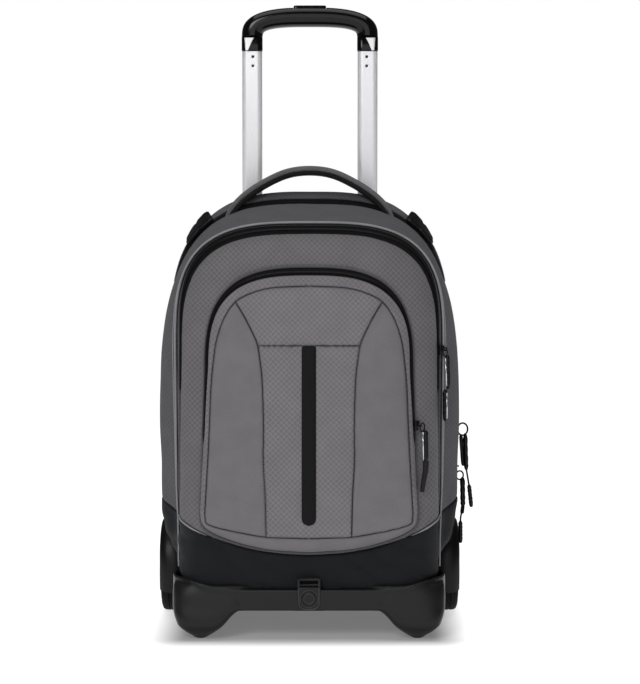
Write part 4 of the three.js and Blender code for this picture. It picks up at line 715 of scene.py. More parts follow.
def build_piping():
    """Piping round the gusset's front edge and the hem, each with a dark cord beside it as painted shade,
    and the binding round the back
    """
    run = float(bag.run_at(MAIN_PIPING_DEPTH / BAG_DEPTH))
    turn = np.linspace(0, 0.5, 900)
    p = bag.at(np.full(900, run), turn)
    first = turn[int(np.nonzero(p[:, 2] < BAG_BOTTOM + 24)[0][-1])]
    turns = np.linspace(first, 1 - first, 520)
    lean = 18 * step(170, 80, bag.at(np.full(520, run), turns)[:, 2])
    rows = np.array([bag.at(run + lean + a, turns) for a in (-1, 0, 1)])
    normal = grid_normals(rows)
    tube("edge_piping", rows[1] + normal[1] * 0.9, 1.35, PIPING, replaces=["piping"])
    tube("edge_ridge", bag.at(run + lean - 3.6, turns) + normal[1] * 0.25, 0.7, PIPING)
    # a dark cord beside the piping: painted shade of the gap
    tube("edge_shade", bag.at(run + lean + 2.4, turns) + normal[1] * 0.1, 0.8, SEAM_SHADE)
    # the same along the hem beside the pocket
    runs = np.linspace(run + 2, bag.run_at(0.997), 90)
    for sign, side in ((1, "right"), (-1, "left")):
        # each hem piping has a dark cord below it: painted shade
        for kind, below, radius, material in (("piping", 0.0, 1.1, PIPING), ("shade", 2.6, 1.0, SEAM_SHADE)):
            path = []
            for at in runs:
                turn = hem_turns(at)[0] - below / 1500
                path.append(bag.at(at, turn) * [sign, 1, 1])
            path = np.array(path)
            path = evenly(path[np.abs(path[:, 0]) > 113], 60)
            out = path - np.array([0, 60.0, 0])
            out[:, 2] = 0
            path = path + 0.6 * out / np.linalg.norm(out, axis=1, keepdims=True)
            slim = radius * np.minimum(1, np.linspace(3.2, 0.25, 60))
            tube(f"hem_{kind}_{side}", path, slim, material)
    # the binding round the edge of the back
    back = float(bag.run_at(0.05))
    rows = np.array([bag.at(np.full(520, back + a), np.linspace(0.2, 0.8, 520)) for a in (-1, 0, 1)])
    tube("back_binding", rows[1] + grid_normals(rows)[1] * 0.6, 1.8, TAPE)


# Seams of the pocket's front, right half, as x and z
PANEL_EDGE = [(0, 401), (40, 399), (65, 393), (83, 383), (95, 366), (103, 345), (107, 325),
              (110.5, 290), (112, 249), (114, 203), (116, 165), (117, 140), (112, 131.5), (80, 124),
              (48, 119), (0, 117)]
DIAGONAL_SEAM = [(83, 383), (74, 369), (65, 352), (58, 336), (55, 318), (52.5, 295), (51, 249),
                 (51, 203), (49, 165), (48, 119)]
CROSS_SEAM = [(-57, 334), (0, 334), (57, 334)]


def seam_lines():
    """The pocket's seams on both sides, as x and z"""
    mirror = lambda points: [(-x, z) for x, z in points]
    lines = []
    for points in (PANEL_EDGE, DIAGONAL_SEAM):
        lines.append(through(points, 400))
        lines.append(through(mirror(points), 400))
    lines.append(through(CROSS_SEAM, 160))
    return lines


def nearest(points, lines):
    """Distance in mm from each x, z to the nearest seam"""
    flat = points.reshape(-1, 2)
    best = np.full(len(flat), 1e9)
    for line in lines:
        for start in range(0, len(flat), 4000):
            part = flat[start:start + 4000]
            d = np.linalg.norm(part[:, None] - line[None], axis=2).min(1)
            best[start:start + 4000] = np.minimum(best[start:start + 4000], d)
    return best.reshape(points.shape[:-1])


def build_pocket():
    """The pocket's rim behind its zip, and its front with seams pressed in"""
    zip_run = float(pocket.run_at(POCKET_ZIP_REACH / POCKET_DEPTH))
    columns = 560
    turns = np.linspace(0, 1, columns, endpoint=False)

    def rows_of(runs, sign):
        """Rings of the pocket's surface, moved away from the zip where it is open"""
        rows = []
        for run in runs:
            p = pocket.at(np.full(columns, run), turns)
            near = np.exp(-abs(run - zip_run) / 6.0)
            opening = step(POCKET_ZIP_END - 8, POCKET_ZIP_END + 4, p[:, 2])
            rows.append(pocket.at(run + sign * POCKET_ZIP_SHOWN / 2 * opening * near, turns))
        return np.array(rows)

    rim = rows_of(by_edges(zip_run, 0.8, 2.5, 4.0), -1)
    normal = grid_normals(rim, wrap=True)
    near = zip_run - by_edges(zip_run, 0.8, 2.5, 4.0)
    off = -0.9 * np.exp(-((near / 1.4) ** 2))[:, None] + 0.25 * ripple(rim, 20.0, 6.0)
    # painted shade along the rim's edge beside the zip
    painted_crease_shade = np.repeat(np.exp(-((near / 1.4) ** 2))[:, None], columns, 1)
    piece = add_mesh("pocket_rim_shell", rim + normal * off[..., None],
                     grid_faces(len(rim), columns, wrap=True), GREY,
                     "bag_and_frame", grid_uv(rim), painted_crease_shade)
    solidify(piece, 1.4)
    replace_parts(piece, "pocket_rim")

    runs = zip_run + by_edges(pocket.end - zip_run, 0.8, 2.1, 6.0)
    front = rows_of(runs, 1)
    centre = np.array([0.0, 0.0, HEM_MIDDLE + 0.47 * POCKET_HEIGHT])
    last = front[-1]
    inner = []
    for k in np.linspace(1, 0.02, 34)[1:]:
        ring = centre + (last - centre) * [k, 1, k]
        ring[:, 1] = pocket_depth(1.0, ring[:, 2]) - 1.5 * (1 - k * k)
        inner.append(ring)
    front = np.concatenate([front, np.array(inner)])
    normal = grid_normals(front, wrap=True)
    lines = seam_lines()
    distance = nearest(front[..., [0, 2]], lines)
    near = np.concatenate([[0], np.cumsum(np.linalg.norm(np.diff(front, axis=0), axis=2).mean(1))])
    off = -0.9 * np.exp(-((near / 1.4) ** 2))[:, None]
    off = off - 1.0 * np.exp(-((distance / 1.7) ** 2)) + 0.3 * np.exp(-(((distance - 3.6) / 2.2) ** 2))
    off = off + 0.3 * ripple(front, 8.0, 11.0) * np.exp(-distance / 7.0) + 0.7 * ripple(front, 60.0, 12.0)
    # painted shade along the seams and round the front's edge
    painted_crease_shade = np.maximum(np.exp(-((distance / 1.5) ** 2)), np.exp(-((near / 1.3) ** 2))[:, None])
    moved = front + normal * off[..., None]
    faces = grid_faces(len(front), columns, wrap=True).tolist()
    start = (len(front) - 1) * columns
    faces.append([start + j for j in range(columns)])
    uv = front[..., [0, 2]]
    piece = add_mesh("pocket_shell", moved, faces, FACE, "bag_and_frame", uv, painted_crease_shade)
    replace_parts(piece, "pocket_front")
    # smooth panels: the two beside the middle one
    piece.data.materials.append(FACE_PLAIN)
    cx = np.array([moved.reshape(-1, 3)[list(f)].mean(0) for f in faces])
    right = through(DIAGONAL_SEAM, 300)
    edge = through(PANEL_EDGE, 600)
    order = np.argsort(right[:, 1])
    seam_x = np.interp(cx[:, 2], right[order, 1], right[order, 0])
    lower = edge[edge[:, 1] < 383]
    order = np.argsort(lower[:, 1])
    outer_x = np.interp(cx[:, 2], lower[order, 1], lower[order, 0])
    x, z = np.abs(cx[:, 0]), cx[:, 2]
    side = (x > seam_x) & (x < outer_x) & (z < 384) & (z > 117)
    below = z < np.interp(x, [0, 48, 80, 112, 117], [117, 119, 124, 131.5, 140])
    piece.data.polygons.foreach_set("material_index", (side | below).astype(int).tolist())
    solidify(piece, 1.4)
    return piece


def tree_of(piece):
    """Finds the surface of a piece, in mm"""
    mesh = piece.data
    points = [v.co / MM for v in mesh.vertices]
    return BVHTree.FromPolygons(points, [tuple(p.vertices) for p in mesh.polygons])


def front_of(finder, x, z):
    hit = finder.ray_cast(Vector((x, -400, z)), Vector((0, 1, 0)))
    return hit[0].y if hit[0] else None


def build_seams(finder):
    """The folded edge along each seam of the pocket's front, darkened as painted shade of the seam's
    groove, and the stitches along it
    """
    for index, line in enumerate(seam_lines()):
        path = []
        for x, z in line[1:-1]:
            y = front_of(finder, x, z)
            if y is not None:
                path.append((x, y + 0.15, z))
        path = evenly(np.array(path), len(path) // 2)
        # a dark cord in each seam's groove: painted shade
        tube(f"pocket_seam_{index}", path, 0.55, SEAM_SHADE, sides=6)
    corners = []
    for line in seam_lines():
        run = evenly(line, int(length_of(line) / 3.1))
        along = tangents(run)
        side = np.stack([-along[:, 1], along[:, 0]], 1)
        for offset in (-2.3, 2.3):
            for (x, z), (ax, az) in zip(run[2:-2] + side[2:-2] * offset, along[2:-2]):
                ends = [(x - ax * 1.05, z - az * 1.05), (x + ax * 1.05, z + az * 1.05)]
                ys = [front_of(finder, *e) for e in ends]
                if None not in ys:
                    corners.append([(ends[0][0], ys[0], ends[0][1]), (ends[1][0], ys[1], ends[1][1])])
    stitches("pocket_stitches", corners, 0.24, THREAD)


def stitches(name, pairs, radius, material):
    """Short thread stitches, each a thin bar between two points on the cloth, arched a little"""
    points, faces = [], []
    for a, b in pairs:
        a, b = np.array(a), np.array(b)
        along = (b - a) / np.linalg.norm(b - a)
        side = np.cross(along, [0, -1.0, 0])
        side /= np.linalg.norm(side)
        up = np.cross(side, along)
        up *= -np.sign(up[1]) if up[1] else 1
        base = len(points)
        for share, lift in ((0, -0.5), (0.3, 0.9), (0.7, 0.9), (1, -0.5)):
            middle = a + (b - a) * share + up * lift * radius
            for sx, sz in ((-1, -1), (1, -1), (0.6, 1), (-0.6, 1)):
                points.append(middle + side * sx * radius + up * sz * radius * 0.7)
        for r in range(3):
            for k in range(4):
                n = (k + 1) % 4
                faces.append((base + r * 4 + k, base + r * 4 + n, base + r * 4 + 4 + n,
                              base + r * 4 + 4 + k))
        faces += [(base + 3, base + 2, base + 1, base), (base + 12, base + 13, base + 14, base + 15)]
    return add_mesh(name, points, faces, material, "bag_and_frame")


def build_stripe(finder):
    """The dark band down the pocket's middle, round at its foot"""
    half, top, bottom = 7.5, 333, 133
    rows = []
    for z in np.linspace(bottom, top, 100):
        reach = half
        if z < bottom + half:
            reach = math.sqrt(max(half**2 - (bottom + half - z) ** 2, 0.4))
        row = []
        for k in np.linspace(-1, 1, 11):
            edge = 1.3 * (1 - abs(k) ** 8) if bottom + 0.5 < z < top - 0.5 else 0.2
            y = front_of(finder, k * reach, min(max(z, bottom + 1), top - 1))
            row.append((k * reach, y - edge + 0.1, z))
        rows.append(row)
    points = np.array(rows)[:, ::-1]
    piece = add_mesh("front_band", points, grid_faces(100, 11), STRIPE, "bag_and_frame",
                     grid_uv(points))
    solidify(piece, 1.0)
    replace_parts(piece, "front_stripe")
    return piece


def strap(name, path, wide, thick, material, across, puff=0.3, sides=20, body="bag_and_frame",
          replaces=(), edge=0.35):
    """A flat padded band along a path. across is its width direction at each point."""
    path = np.asarray(path, float)
    along = tangents(path)
    across = np.broadcast_to(np.asarray(across, float), path.shape)
    out = np.cross(along, across)
    out /= np.linalg.norm(out, axis=1, keepdims=True)
    side = np.cross(out, along)
    wide = np.broadcast_to(np.asarray(wide, float), len(path))
    thick = np.broadcast_to(np.asarray(thick, float), len(path))
    angles = np.linspace(0, 2 * math.pi, sides, endpoint=False)
    c, s = np.cos(angles), np.sin(angles)
    a = np.sign(c) * np.abs(c) ** edge
    b = np.sign(s) * np.abs(s) ** (1 - puff)
    points = path[:, None] + side[:, None] * (a[None, :, None] * wide[:, None, None] / 2)
    points = points + out[:, None] * (b[None, :, None] * thick[:, None, None] / 2)
    faces = closed_faces(len(path), sides)
    piece = add_mesh(name, points, faces, material, body, grid_uv(points))
    if replaces:
        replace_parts(piece, *replaces)
    return piece


HANDLE_HALF = [(99, 43, 478), (92, 44, 491.5), (79, 46, 506), (56, 49, 522), (28, 51, 535),
               (0, 51.5, 538.8)]


def build_handle():
    """The padded grab handle and its lining"""
    whole = HANDLE_HALF + [(-x, y, z) for x, y, z in HANDLE_HALF[-2::-1]]
    path = through(whole, 110)
    along = tangents(path)
    out = np.cross(along, [0, 1.0, 0])
    out *= np.sign(out[:, 2:3] + 1e-9)
    top = path + out * 2.2
    low = path - out * 3.3
    ends = step(0, 8, np.minimum(np.arange(110), 109 - np.arange(110)))
    piece = strap("grab_handle_top", top, 22 - 2 * (1 - ends), 6.6 * (0.7 + 0.3 * ends), GREY_PLAIN,
                  (0, 1, 0), puff=0.25, sides=28, replaces=["grab_handle"])
    strap("grab_handle_lining", low, 21.5, 5.0, WEBBING, (0, 1, 0), puff=0.5)


def dress(name, material, slot, body, bevel=0.6, angle=35, segments=2):
    """A finer stand-in for a hard CAD node: its own mesh with its corners joined and its edges rounded"""
    source = NODES[name]
    mesh = source.data.copy()
    piece = bpy.data.objects.new(name + "_finished", mesh)
    bpy.context.scene.collection.objects.link(piece)
    weld = piece.modifiers.new("weld", "WELD")
    weld.merge_threshold = 0.00002
    change = piece.modifiers.new("edges", "BEVEL")
    change.width = bevel * MM
    change.segments = segments
    change.limit_method = "ANGLE"
    change.angle_limit = math.radians(angle)
    change.harden_normals = False
    mesh.materials.clear()
    mesh.materials.append(material)
    mesh.polygons.foreach_set("use_smooth", [True] * len(mesh.polygons))
    if mesh.has_custom_normals:
        with bpy.context.temp_override(object=piece, active_object=piece, selected_objects=[piece]):
            bpy.ops.mesh.customdata_custom_splitnormals_clear()
    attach(piece, body)
    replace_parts(piece, name)
    return piece


def build_back():
    """Shoulder straps, their lower webbing and the three back pads"""
    depth = BACK_FACE + 5 + 0.6 + 4
    for sign, side in ((1, "right"), (-1, "left")):
        route = [(42, 466), (50, 410), (62, 345), (78, 280), (89.7, 225.6)]
        path = through([(sign * x, depth, z) for x, z in route], 60)
        along = np.gradient(path, axis=0)
        across = np.stack([along[:, 2], 0 * along[:, 0], -along[:, 0]], 1)
        share = np.linspace(0, 1, 60)
        wide = 54 * (1 - 0.22 * np.clip(share - 0.6, 0, 1) / 0.4)
        piece = strap(f"shoulder_pad_{side}", path, wide, 8, BLACK, across, puff=0.45,
                      sides=28, replaces=[f"shoulder_strap_{side}"])
        back = BACK_FACE + 0.3 + 0.9
        behind = depth - 1.8 - 0.3 - 0.9
        route = [(95, behind, 213), (98, behind, 203), (104, depth - 3, 176), (112, depth - 6.5, 148),
                 (120, back, 124), (124, back, 108)]
        path = through([(sign * x, y, z) for x, y, z in route], 50)
        strap(f"lower_webbing_{side}", path, 25, 1.8, WEBBING, (1, 0, sign * 0.28),
              puff=0.4, edge=0.2, replaces=[f"strap_webbing_{side}"])
    for name, x, z, wide, high in (("top", 0, 408, 190, 92), ("left", -60, 262, 100, 176),
                                   ("right", 60, 262, 100, 176)):
        rows = []
        shares = np.linspace(0.02, 1, 26)
        for k in shares:
            ring = []
            for a in np.linspace(0, 2 * math.pi, 120, endpoint=False):
                c, s = math.cos(a), math.sin(a)
                ring.append((x + wide / 2 * k * math.copysign(abs(c) ** 0.35, c), 0,
                             z + high / 2 * k * math.copysign(abs(s) ** 0.35, s)))
            rows.append(ring)
        points = np.array(rows)
        points[..., 1] = BACK_FACE + 0.3 + 5.0 * np.sqrt(np.clip(1 - shares**6, 0, 1))[:, None]
        faces = closed_faces(26, 120)
        piece = add_mesh(f"back_cushion_{name}", points, faces, BLACK, "bag_and_frame",
                         points[..., [0, 2]])
        outward(piece)
        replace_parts(piece, f"back_pad_{name}")


def shoulder_path(depth, low, high, sign, lift, count):
    """A run down the bag's shoulder at one depth, moved out from the cloth, and the way across it"""
    run = float(bag.run_at((BACK_FACE - depth) / BAG_DEPTH))
    turn = np.linspace(0.15, 0.5, 900)
    p = bag.at(np.full(900, run), turn)
    inside = turn[(p[:, 2] > low) & (p[:, 2] < high)]
    turns = np.linspace(inside[0], inside[-1], count)
    turns = turns if sign > 0 else 1 - turns
    rows = np.array([bag.at(np.full(count, run + a), turns) for a in (-8, 0, 8)])
    normal = grid_normals(rows)[1]
    normal *= np.sign(normal[:, 2:3])
    across = rows[2] - rows[0]
    return rows[1] + normal * lift, across / np.linalg.norm(across, axis=1, keepdims=True)


def build_sides():
    """The webbing and the clip on each shoulder"""
    for sign, side in ((1, "right"), (-1, "left")):
        path, across = shoulder_path(55, 404, 466, sign, 0.9, 40)
        strap(f"side_strap_{side}", path, 25, 1.6, GREY_PLAIN, across, puff=0.4, edge=0.2,
              replaces=[f"side_webbing_{side}"])
        path, across = shoulder_path(48, 449, 482, sign, 3.8, 48)
        share = np.linspace(0, 1, 48)
        end = np.minimum(share, 1 - share)
        pinch = np.exp(-(((share - 0.55) / 0.05) ** 2))
        wide = 29 * (1 - 0.12 * pinch) * (0.86 + 0.14 * step(0, 0.1, end))
        thick = 6.4 * (0.45 + 0.55 * step(0, 0.12, end)) * (1 - 0.18 * pinch)
        strap(f"side_clip_{side}", path, wide, thick, BUCKLE, across, puff=0.55,
              edge=0.3, sides=40, replaces=[f"side_buckle_{side}"])
        for offset in (-9.5, 0, 9.5):
            spot = path[34:43] + across[34:43] * offset
            out = np.cross(np.gradient(path, axis=0), across)[34:43]
            out /= np.linalg.norm(out, axis=1, keepdims=True)
            out *= np.sign(out[:, 2:3])
            strap(f"side_clip_rib_{side}_{int(offset * 2) + 19}", spot + out * 2.8, 4.2, 0.9, BUCKLE,
                  across[34:43], puff=0.6, edge=0.5, sides=16)


build_bag()
build_zips()
build_piping()
pocket_piece = build_pocket()
pocket_finder = tree_of(pocket_piece)
build_seams(pocket_finder)
build_stripe(pocket_finder)
build_handle()
build_back()
build_sides()


# Trolley.
def rounded(wide, deep, radius, count):
    """Evenly spaced points of a rounded rectangle, as x and y"""
    x, y = wide / 2 - radius, deep / 2 - radius
    points = []
    for cx, cy, turn in ((x, y, 0), (-x, y, 1), (-x, -y, 2), (x, -y, 3)):
        for a in np.linspace(turn * math.pi / 2, (turn + 1) * math.pi / 2, 24):
            points.append((cx + radius * math.cos(a), cy + radius * math.sin(a)))
    points.append(points[0])
    return evenly(np.array(points), count + 1)[:-1]


def loft(name, rings, material, body, caps=True, angle=40, replaces=()):
    """Joins rings, each with as many points, into one closed skin"""
    rings = np.asarray(rings, float)
    rows, columns = rings.shape[:2]
    if caps:
        faces = closed_faces(rows, columns)
    else:
        last = (rows - 1) * columns
        faces = grid_faces(rows, columns, wrap=True).tolist()
        faces += [(last + i, last + (i + 1) % columns, (i + 1) % columns, i) for i in range(columns)]
    piece = add_mesh(name, rings, faces, material, body, grid_uv(rings))
    outward(piece)
    piece.data.set_sharp_from_angle(angle=math.radians(angle))
    if replaces:
        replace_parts(piece, *replaces)
    return piece


def hollow_tube(name, x, low, high, size, body, dimples=(), replaces=()):
    """Rounded tube with a rounded rim at both ends, and shallow dimples in its front near the top"""
    wide, deep, wall, radius = size
    count = 140
    rim = 0.5
    outer = rounded(wide, deep, radius, count)
    inner = rounded(wide - 2 * wall, deep - 2 * wall, radius - wall, count)
    near = rounded(wide - 2 * rim, deep - 2 * rim, radius - rim, count)
    fine = np.arange(high - 26, high - rim, 0.6) if len(dimples) else np.array([high - rim])
    levels = [(near, low), (outer, low + rim)] + [(outer, z) for z in fine]
    levels += [(outer, high - rim), (near, high)]
    rings = []
    for shape, z in levels:
        ring = np.column_stack([shape, np.full(count, z)])
        for dx, dz in dimples:
            away = np.hypot(ring[:, 0] - dx, z - dz)
            ring[:, 1] += np.where(ring[:, 1] < 0, 1.4 * step(2.2, 0.6, away), 0)
        rings.append(ring)
    rings += [np.column_stack([inner, np.full(count, z)]) for z in (high - 0.2, low + 0.2)]
    rings = np.array(rings) + [x, TUBE_DEPTH, 0]
    return loft(name, rings, ALUMINIUM, body, caps=False, angle=50, replaces=replaces)


def stack(levels, x, count):
    """Rings of rounded rectangles about a tube's middle, from rows of width, depth, radius and height"""
    rings = []
    for wide, deep, radius, z in levels:
        shape = rounded(wide, deep, radius, count)
        rings.append(np.column_stack([shape[:, 0] + x, shape[:, 1] + TUBE_DEPTH, np.full(count, z)]))
    return np.array(rings)


def superellipse(count, power):
    a = (np.arange(count) + 0.5) * 2 * math.pi / count
    c, k = np.cos(a), np.sin(a)
    return np.column_stack([np.sign(c) * np.abs(c) ** power, np.sign(k) * np.abs(k) ** power])


BUTTON_HALF, BUTTON_DEEP, BUTTON_TOP, BUTTON_LOW = 20, 8.5, 743.5, 735


def build_grip():
    """One arch with a seat for its button in the top"""
    seat_x, seat_y = BUTTON_HALF + 0.3, BUTTON_DEEP + 0.3
    reach = lambda x: 2 / math.pi * math.acos((x / GRIP_HALF) ** (2.75 / 2)) / 2
    shares = set(np.linspace(0, 0.5, 56))
    shares = {a for a in shares if abs(a - reach(seat_x)) > 0.004} | {reach(seat_x), reach(seat_x - 0.15)}
    shares = sorted(shares)
    shares = shares + [1 - a for a in shares[-2::-1]]
    half = GRIP_DEPTH / 2
    lower = [-1, -0.993, -0.975, -0.945, -0.9, -0.84, -0.76, -seat_y / half, -(seat_y - 0.15) / half,
             -0.4, 0]
    upper = lower + [-v for v in lower[-2::-1]]
    bulge = lambda v: (1 - abs(v) ** 2.3) ** (1 / 2.3)
    section = [(bulge(v), v) for v in upper] + [(-bulge(v), v) for v in upper[-2:0:-1]]
    rings = []
    for share in shares:
        c, k = math.cos(share * math.pi), math.sin(share * math.pi)
        arch = lambda wide, top, power: (math.copysign(wide * abs(c) ** (2 / power), c),
                                         GRIP_LOW + (top - GRIP_LOW) * abs(k) ** (2 / power))
        xo, zo = arch(GRIP_HALF, GRIP_TOP, 2.75)
        xi, zi = arch(GRIP_HALF - COLLAR_WIDE, GRIP_TOP - GRIP_BAR, 3.0)
        ring = []
        for u, v in section:
            x = (xo + xi) / 2 + (xo - xi) / 2 * u
            z = (zo + zi) / 2 + (zo - zi) / 2 * u
            y = TUBE_DEPTH + half * v
            if u > 0 and abs(x) < seat_x - 0.05 and abs(v) * half < seat_y - 0.05:
                z = BUTTON_LOW - 1.8
            ring.append((x, y, z))
        rings.append(ring)
    loft("grip_arch", rings, GLOSS, "handle", angle=48, replaces=["grip"])
    # the button: its corners rounded, and a shallow dish in its top
    outer = [(0, BUTTON_LOW, 3.0), (0, BUTTON_TOP - 0.9, 3.0), (-0.3, BUTTON_TOP - 0.3, 2.8),
             (-1.0, BUTTON_TOP, 2.4), (-4.2, BUTTON_TOP, 1.5), (-5.0, BUTTON_TOP - 1.1, 1.2)]
    levels = [(2 * (BUTTON_HALF + inset), 2 * (BUTTON_DEEP + inset), radius, z)
              for inset, z, radius in outer]
    loft("grip_push_button", stack(levels, 0, 96), GLOSS, "grip_button",
         replaces=["grip_button"])


def build_collar_reflection_and_rivets(sign, side, x):
    """A bright sheet on the front of each collar, shaped as a painted reflection, and the two dark rivets
    below it
    """
    edges = [(688.4, 79.2, 76.1), (692, 79.5, 74.6), (697.4, 79.9, 72.4), (704.2, 80.6, 68.7)]
    zs = np.linspace(edges[0][0], edges[-1][0], 20)
    outer = np.interp(zs, [e[0] for e in edges], [e[1] for e in edges])
    inner = np.interp(zs, [e[0] for e in edges], [e[2] for e in edges])
    rows = []
    for z, far, near in zip(zs, outer, inner):
        row = []
        for at in np.linspace(near, far, 10):
            over = max(abs(at - abs(x)) - (COLLAR_WIDE / 2 - 6.5), 0)
            y = TUBE_DEPTH - (INNER_TUBE[1] + 3) / 2 + 6.5 - math.sqrt(6.5**2 - over**2)
            row.append((sign * at, y - 0.12, z))
        rows.append(row if sign < 0 else row[::-1])
    points = np.array(rows)
    # painted reflection: a thin aluminium sheet laid on the collar's front
    solidify(add_mesh(f"collar_painted_reflection_{side}", points, grid_faces(20, 10), ALUMINIUM, "handle"),
             0.3)
    for index, drop in enumerate((7, 18.2)):
        place = np.array([x - sign * 1.2, TUBE_DEPTH - INNER_TUBE[1] / 2, TUBE_TOP - drop])
        path = [place + [0, d, 0] for d in (0.6, -0.15, -0.3)]
        tube(f"tube_rivet_{side}_{index}", path, np.array([1.35, 1.3, 0.8]), BUCKLE,
             "handle", sides=20)


def build_collar(sign, side):
    """The sleeve that joins a tube to the grip"""
    x = sign * TUBE_SPACING / 2
    wide, deep = COLLAR_WIDE, INNER_TUBE[1] + 3
    levels = [(19.9, 9.4, 3.6, TUBE_TOP - 26), (20.9, 10.4, 4.4, TUBE_TOP - 25),
              (20.9, 10.4, 4.4, TUBE_TOP + 0.3), (wide - 1.4, deep - 1.4, 5.8, TUBE_TOP + 0.3),
              (wide, deep, 6.5, TUBE_TOP + 1.0), (wide, deep, 6.5, TUBE_TOP + 17.6),
              (wide - 1.0, deep - 1.0, 6.0, TUBE_TOP + 18.2)]
    loft(f"collar_{side}", stack(levels, x, 96), GLOSS, "handle",
         replaces=[f"grip_collar_{side}"])


BASE_EDGE = np.array([[0.0, 0.0], [0.5, 0.0], [0.6, 0.05], [0.7, 0.18], [0.8, 0.33], [0.9, 0.46],
                      [0.96, 0.5], [1.02, 0.5], [1.5, -0.1]])
FOOT_ROWS = np.array([
    # height, inner, outer, front, back, corner
    [0.0, 0.76, 0.815, 0.885, 0.80, 0.95],
    [0.02, 0.745, 0.83, 0.9, 0.785, 0.9],
    [0.075, 0.715, 0.852, 0.935, 0.75, 0.8],
    [0.15, 0.68, 0.888, 0.985, 0.71, 0.66],
    [0.25, 0.638, 0.925, 1.035, 0.67, 0.56],
    [0.33, 0.61, 0.95, 1.052, 0.65, 0.5],
    [0.44, 0.58, 0.964, 1.055, 0.63, 0.46],
    [0.56, 0.54, 0.978, 1.046, 0.61, 0.46],
    [0.64, 0.5, 0.984, 1.038, 0.6, 0.48],
    [0.72, 0.44, 0.988, 1.03, 0.59, 0.5],
    [1.0, 0.4, 0.99, 1.006, 0.58, 0.6],
    [1.2, 0.38, 0.985, 0.985, 0.58, 0.8],
])


def wall_path(inset):
    """The right half of the base's wall seen from above, as x and y"""
    half, front, radius = BASE_WIDTH / 2 - inset, BASE_FRONT - inset, BASE_CORNER - inset
    straight = half - radius
    points = [(x, -front) for x in np.linspace(0, straight, 60)]
    points += [(straight + radius * math.sin(a), -front + radius * (1 - math.cos(a)))
               for a in np.linspace(0, math.pi / 2, 40)[1:]]
    side = np.linspace(-front + radius, WHEEL_DEPTH - HOUSING_HALF_DEPTH - 6, 20)
    points += [(half, y) for y in side[1:]]
    return np.array(points)


def base_wall():
    """Rings round the base's wall, whose top edge dips in the middle"""
    outer, inner = wall_path(0), wall_path(BASE_WALL)
    high = BAG_BOTTOM - BAR_BOTTOM
    along = (outer[:, 0] + np.maximum(0, outer[:, 1] + BASE_FRONT - BASE_CORNER)) / (BASE_WIDTH / 2)
    top = BAG_BOTTOM + high * monotone(BASE_EDGE[:, 0], BASE_EDGE[:, 1], np.minimum(along, 1.49))
    low = np.full(len(top), float(BAR_BOTTOM))
    corners = [np.column_stack([p, z])
               for p, z in ((outer, low), (outer, top), (inner, top), (inner, low))]
    right = np.stack(corners, 1)
    return np.vstack([(right * [-1, 1, 1])[:0:-1], right])


def base_foot(sign):
    """Rings of one foot, from the floor up"""
    heights = np.linspace(0, 1.2, 60) ** 1.3 * 1.2 ** -0.3
    columns = [monotone(FOOT_ROWS[:, 0], FOOT_ROWS[:, i], heights) for i in range(1, 6)]
    half = BASE_WIDTH / 2
    rings = []
    for h, inner, outer, front, back, corner in zip(heights, *columns):
        oval = superellipse(72, corner)
        x = (inner + outer) * half / 2 + (outer - inner) * half / 2 * oval[:, 0]
        y = -(front + back) * BASE_FRONT / 2 + (front - back) * BASE_FRONT / 2 * oval[:, 1]
        rings.append(np.column_stack([sign * x, y, np.full(72, h * FOOT_HEIGHT)]))
    return np.array(rings)


def bar(x0, x1, y0, y1, z0, z1):
    """Corners of a bar, as two rings"""
    ring = [(x0, y0), (x1, y0), (x1, y1), (x0, y1)]
    return np.array([[(x, y, z) for x, y in ring] for z in (z0, z1)])


def base_floor():
    path = wall_path(BASE_WALL / 2)
    half, rear = HOUSING_INNER - 0.3, TUBE_DEPTH - OUTER_TUBE[1] / 2
    right = np.vstack([path, [[half, path[-1, 1]], [half, rear]]])
    edge = np.vstack([right, (right * [-1, 1])[:0:-1]])
    return np.array([np.column_stack([edge, np.full(len(edge), z)])
                     for z in (BAG_BOTTOM - 4.3, BAG_BOTTOM - 0.3)])


def socket(x):
    """Rings round a tube's socket: outside up, then its bore down to a closed floor"""
    levels = [(38, 26, 5, 40), (38, 26, 5, 90), (30.8, 20.8, 7, 90), (30.8, 20.8, 7, FRAME_LOW)]
    return stack(levels, x, 60)


def build_base():
    """Wall, feet, floor, ribs, rear wall and sockets as one moulding with soft corners"""
    rear = TUBE_DEPTH - OUTER_TUBE[1] / 2
    parts = [base_wall(), base_foot(1), base_foot(-1), base_floor()]
    parts += [bar(-149.7, 149.7, rear - 4.6, rear - 0.6, BAG_BOTTOM - 4.3, REAR_WALL_TOP)]
    parts += [bar(x - 2, x + 2, -BASE_FRONT + 2, rear, BAG_BOTTOM - 18, BAG_BOTTOM - 3)
              for x in (-60, 60)]
    parts += [bar(-17, 17, -BASE_FRONT + 2, -BASE_FRONT + 9, BAR_BOTTOM, BAG_BOTTOM - 1)]
    parts += [socket(sign * TUBE_SPACING / 2) for sign in (1, -1)]
    points, faces = [], []
    for rings in parts:
        rows, columns = rings.shape[:2]
        start = sum(len(p) for p in points)
        points.append(rings.reshape(-1, 3))
        faces += [[start + i for i in face] for face in closed_faces(rows, columns)]
    piece = add_mesh("base_moulding", np.vstack(points), faces, BASE, "bag_and_frame")
    join = piece.modifiers.new("join", "REMESH")
    join.mode = "VOXEL"
    join.voxel_size = 1.65 * MM
    join.use_smooth_shade = True
    soften = piece.modifiers.new("soften", "SMOOTH")
    soften.factor = 0.5
    soften.iterations = 7
    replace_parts(piece, "trolley_base")


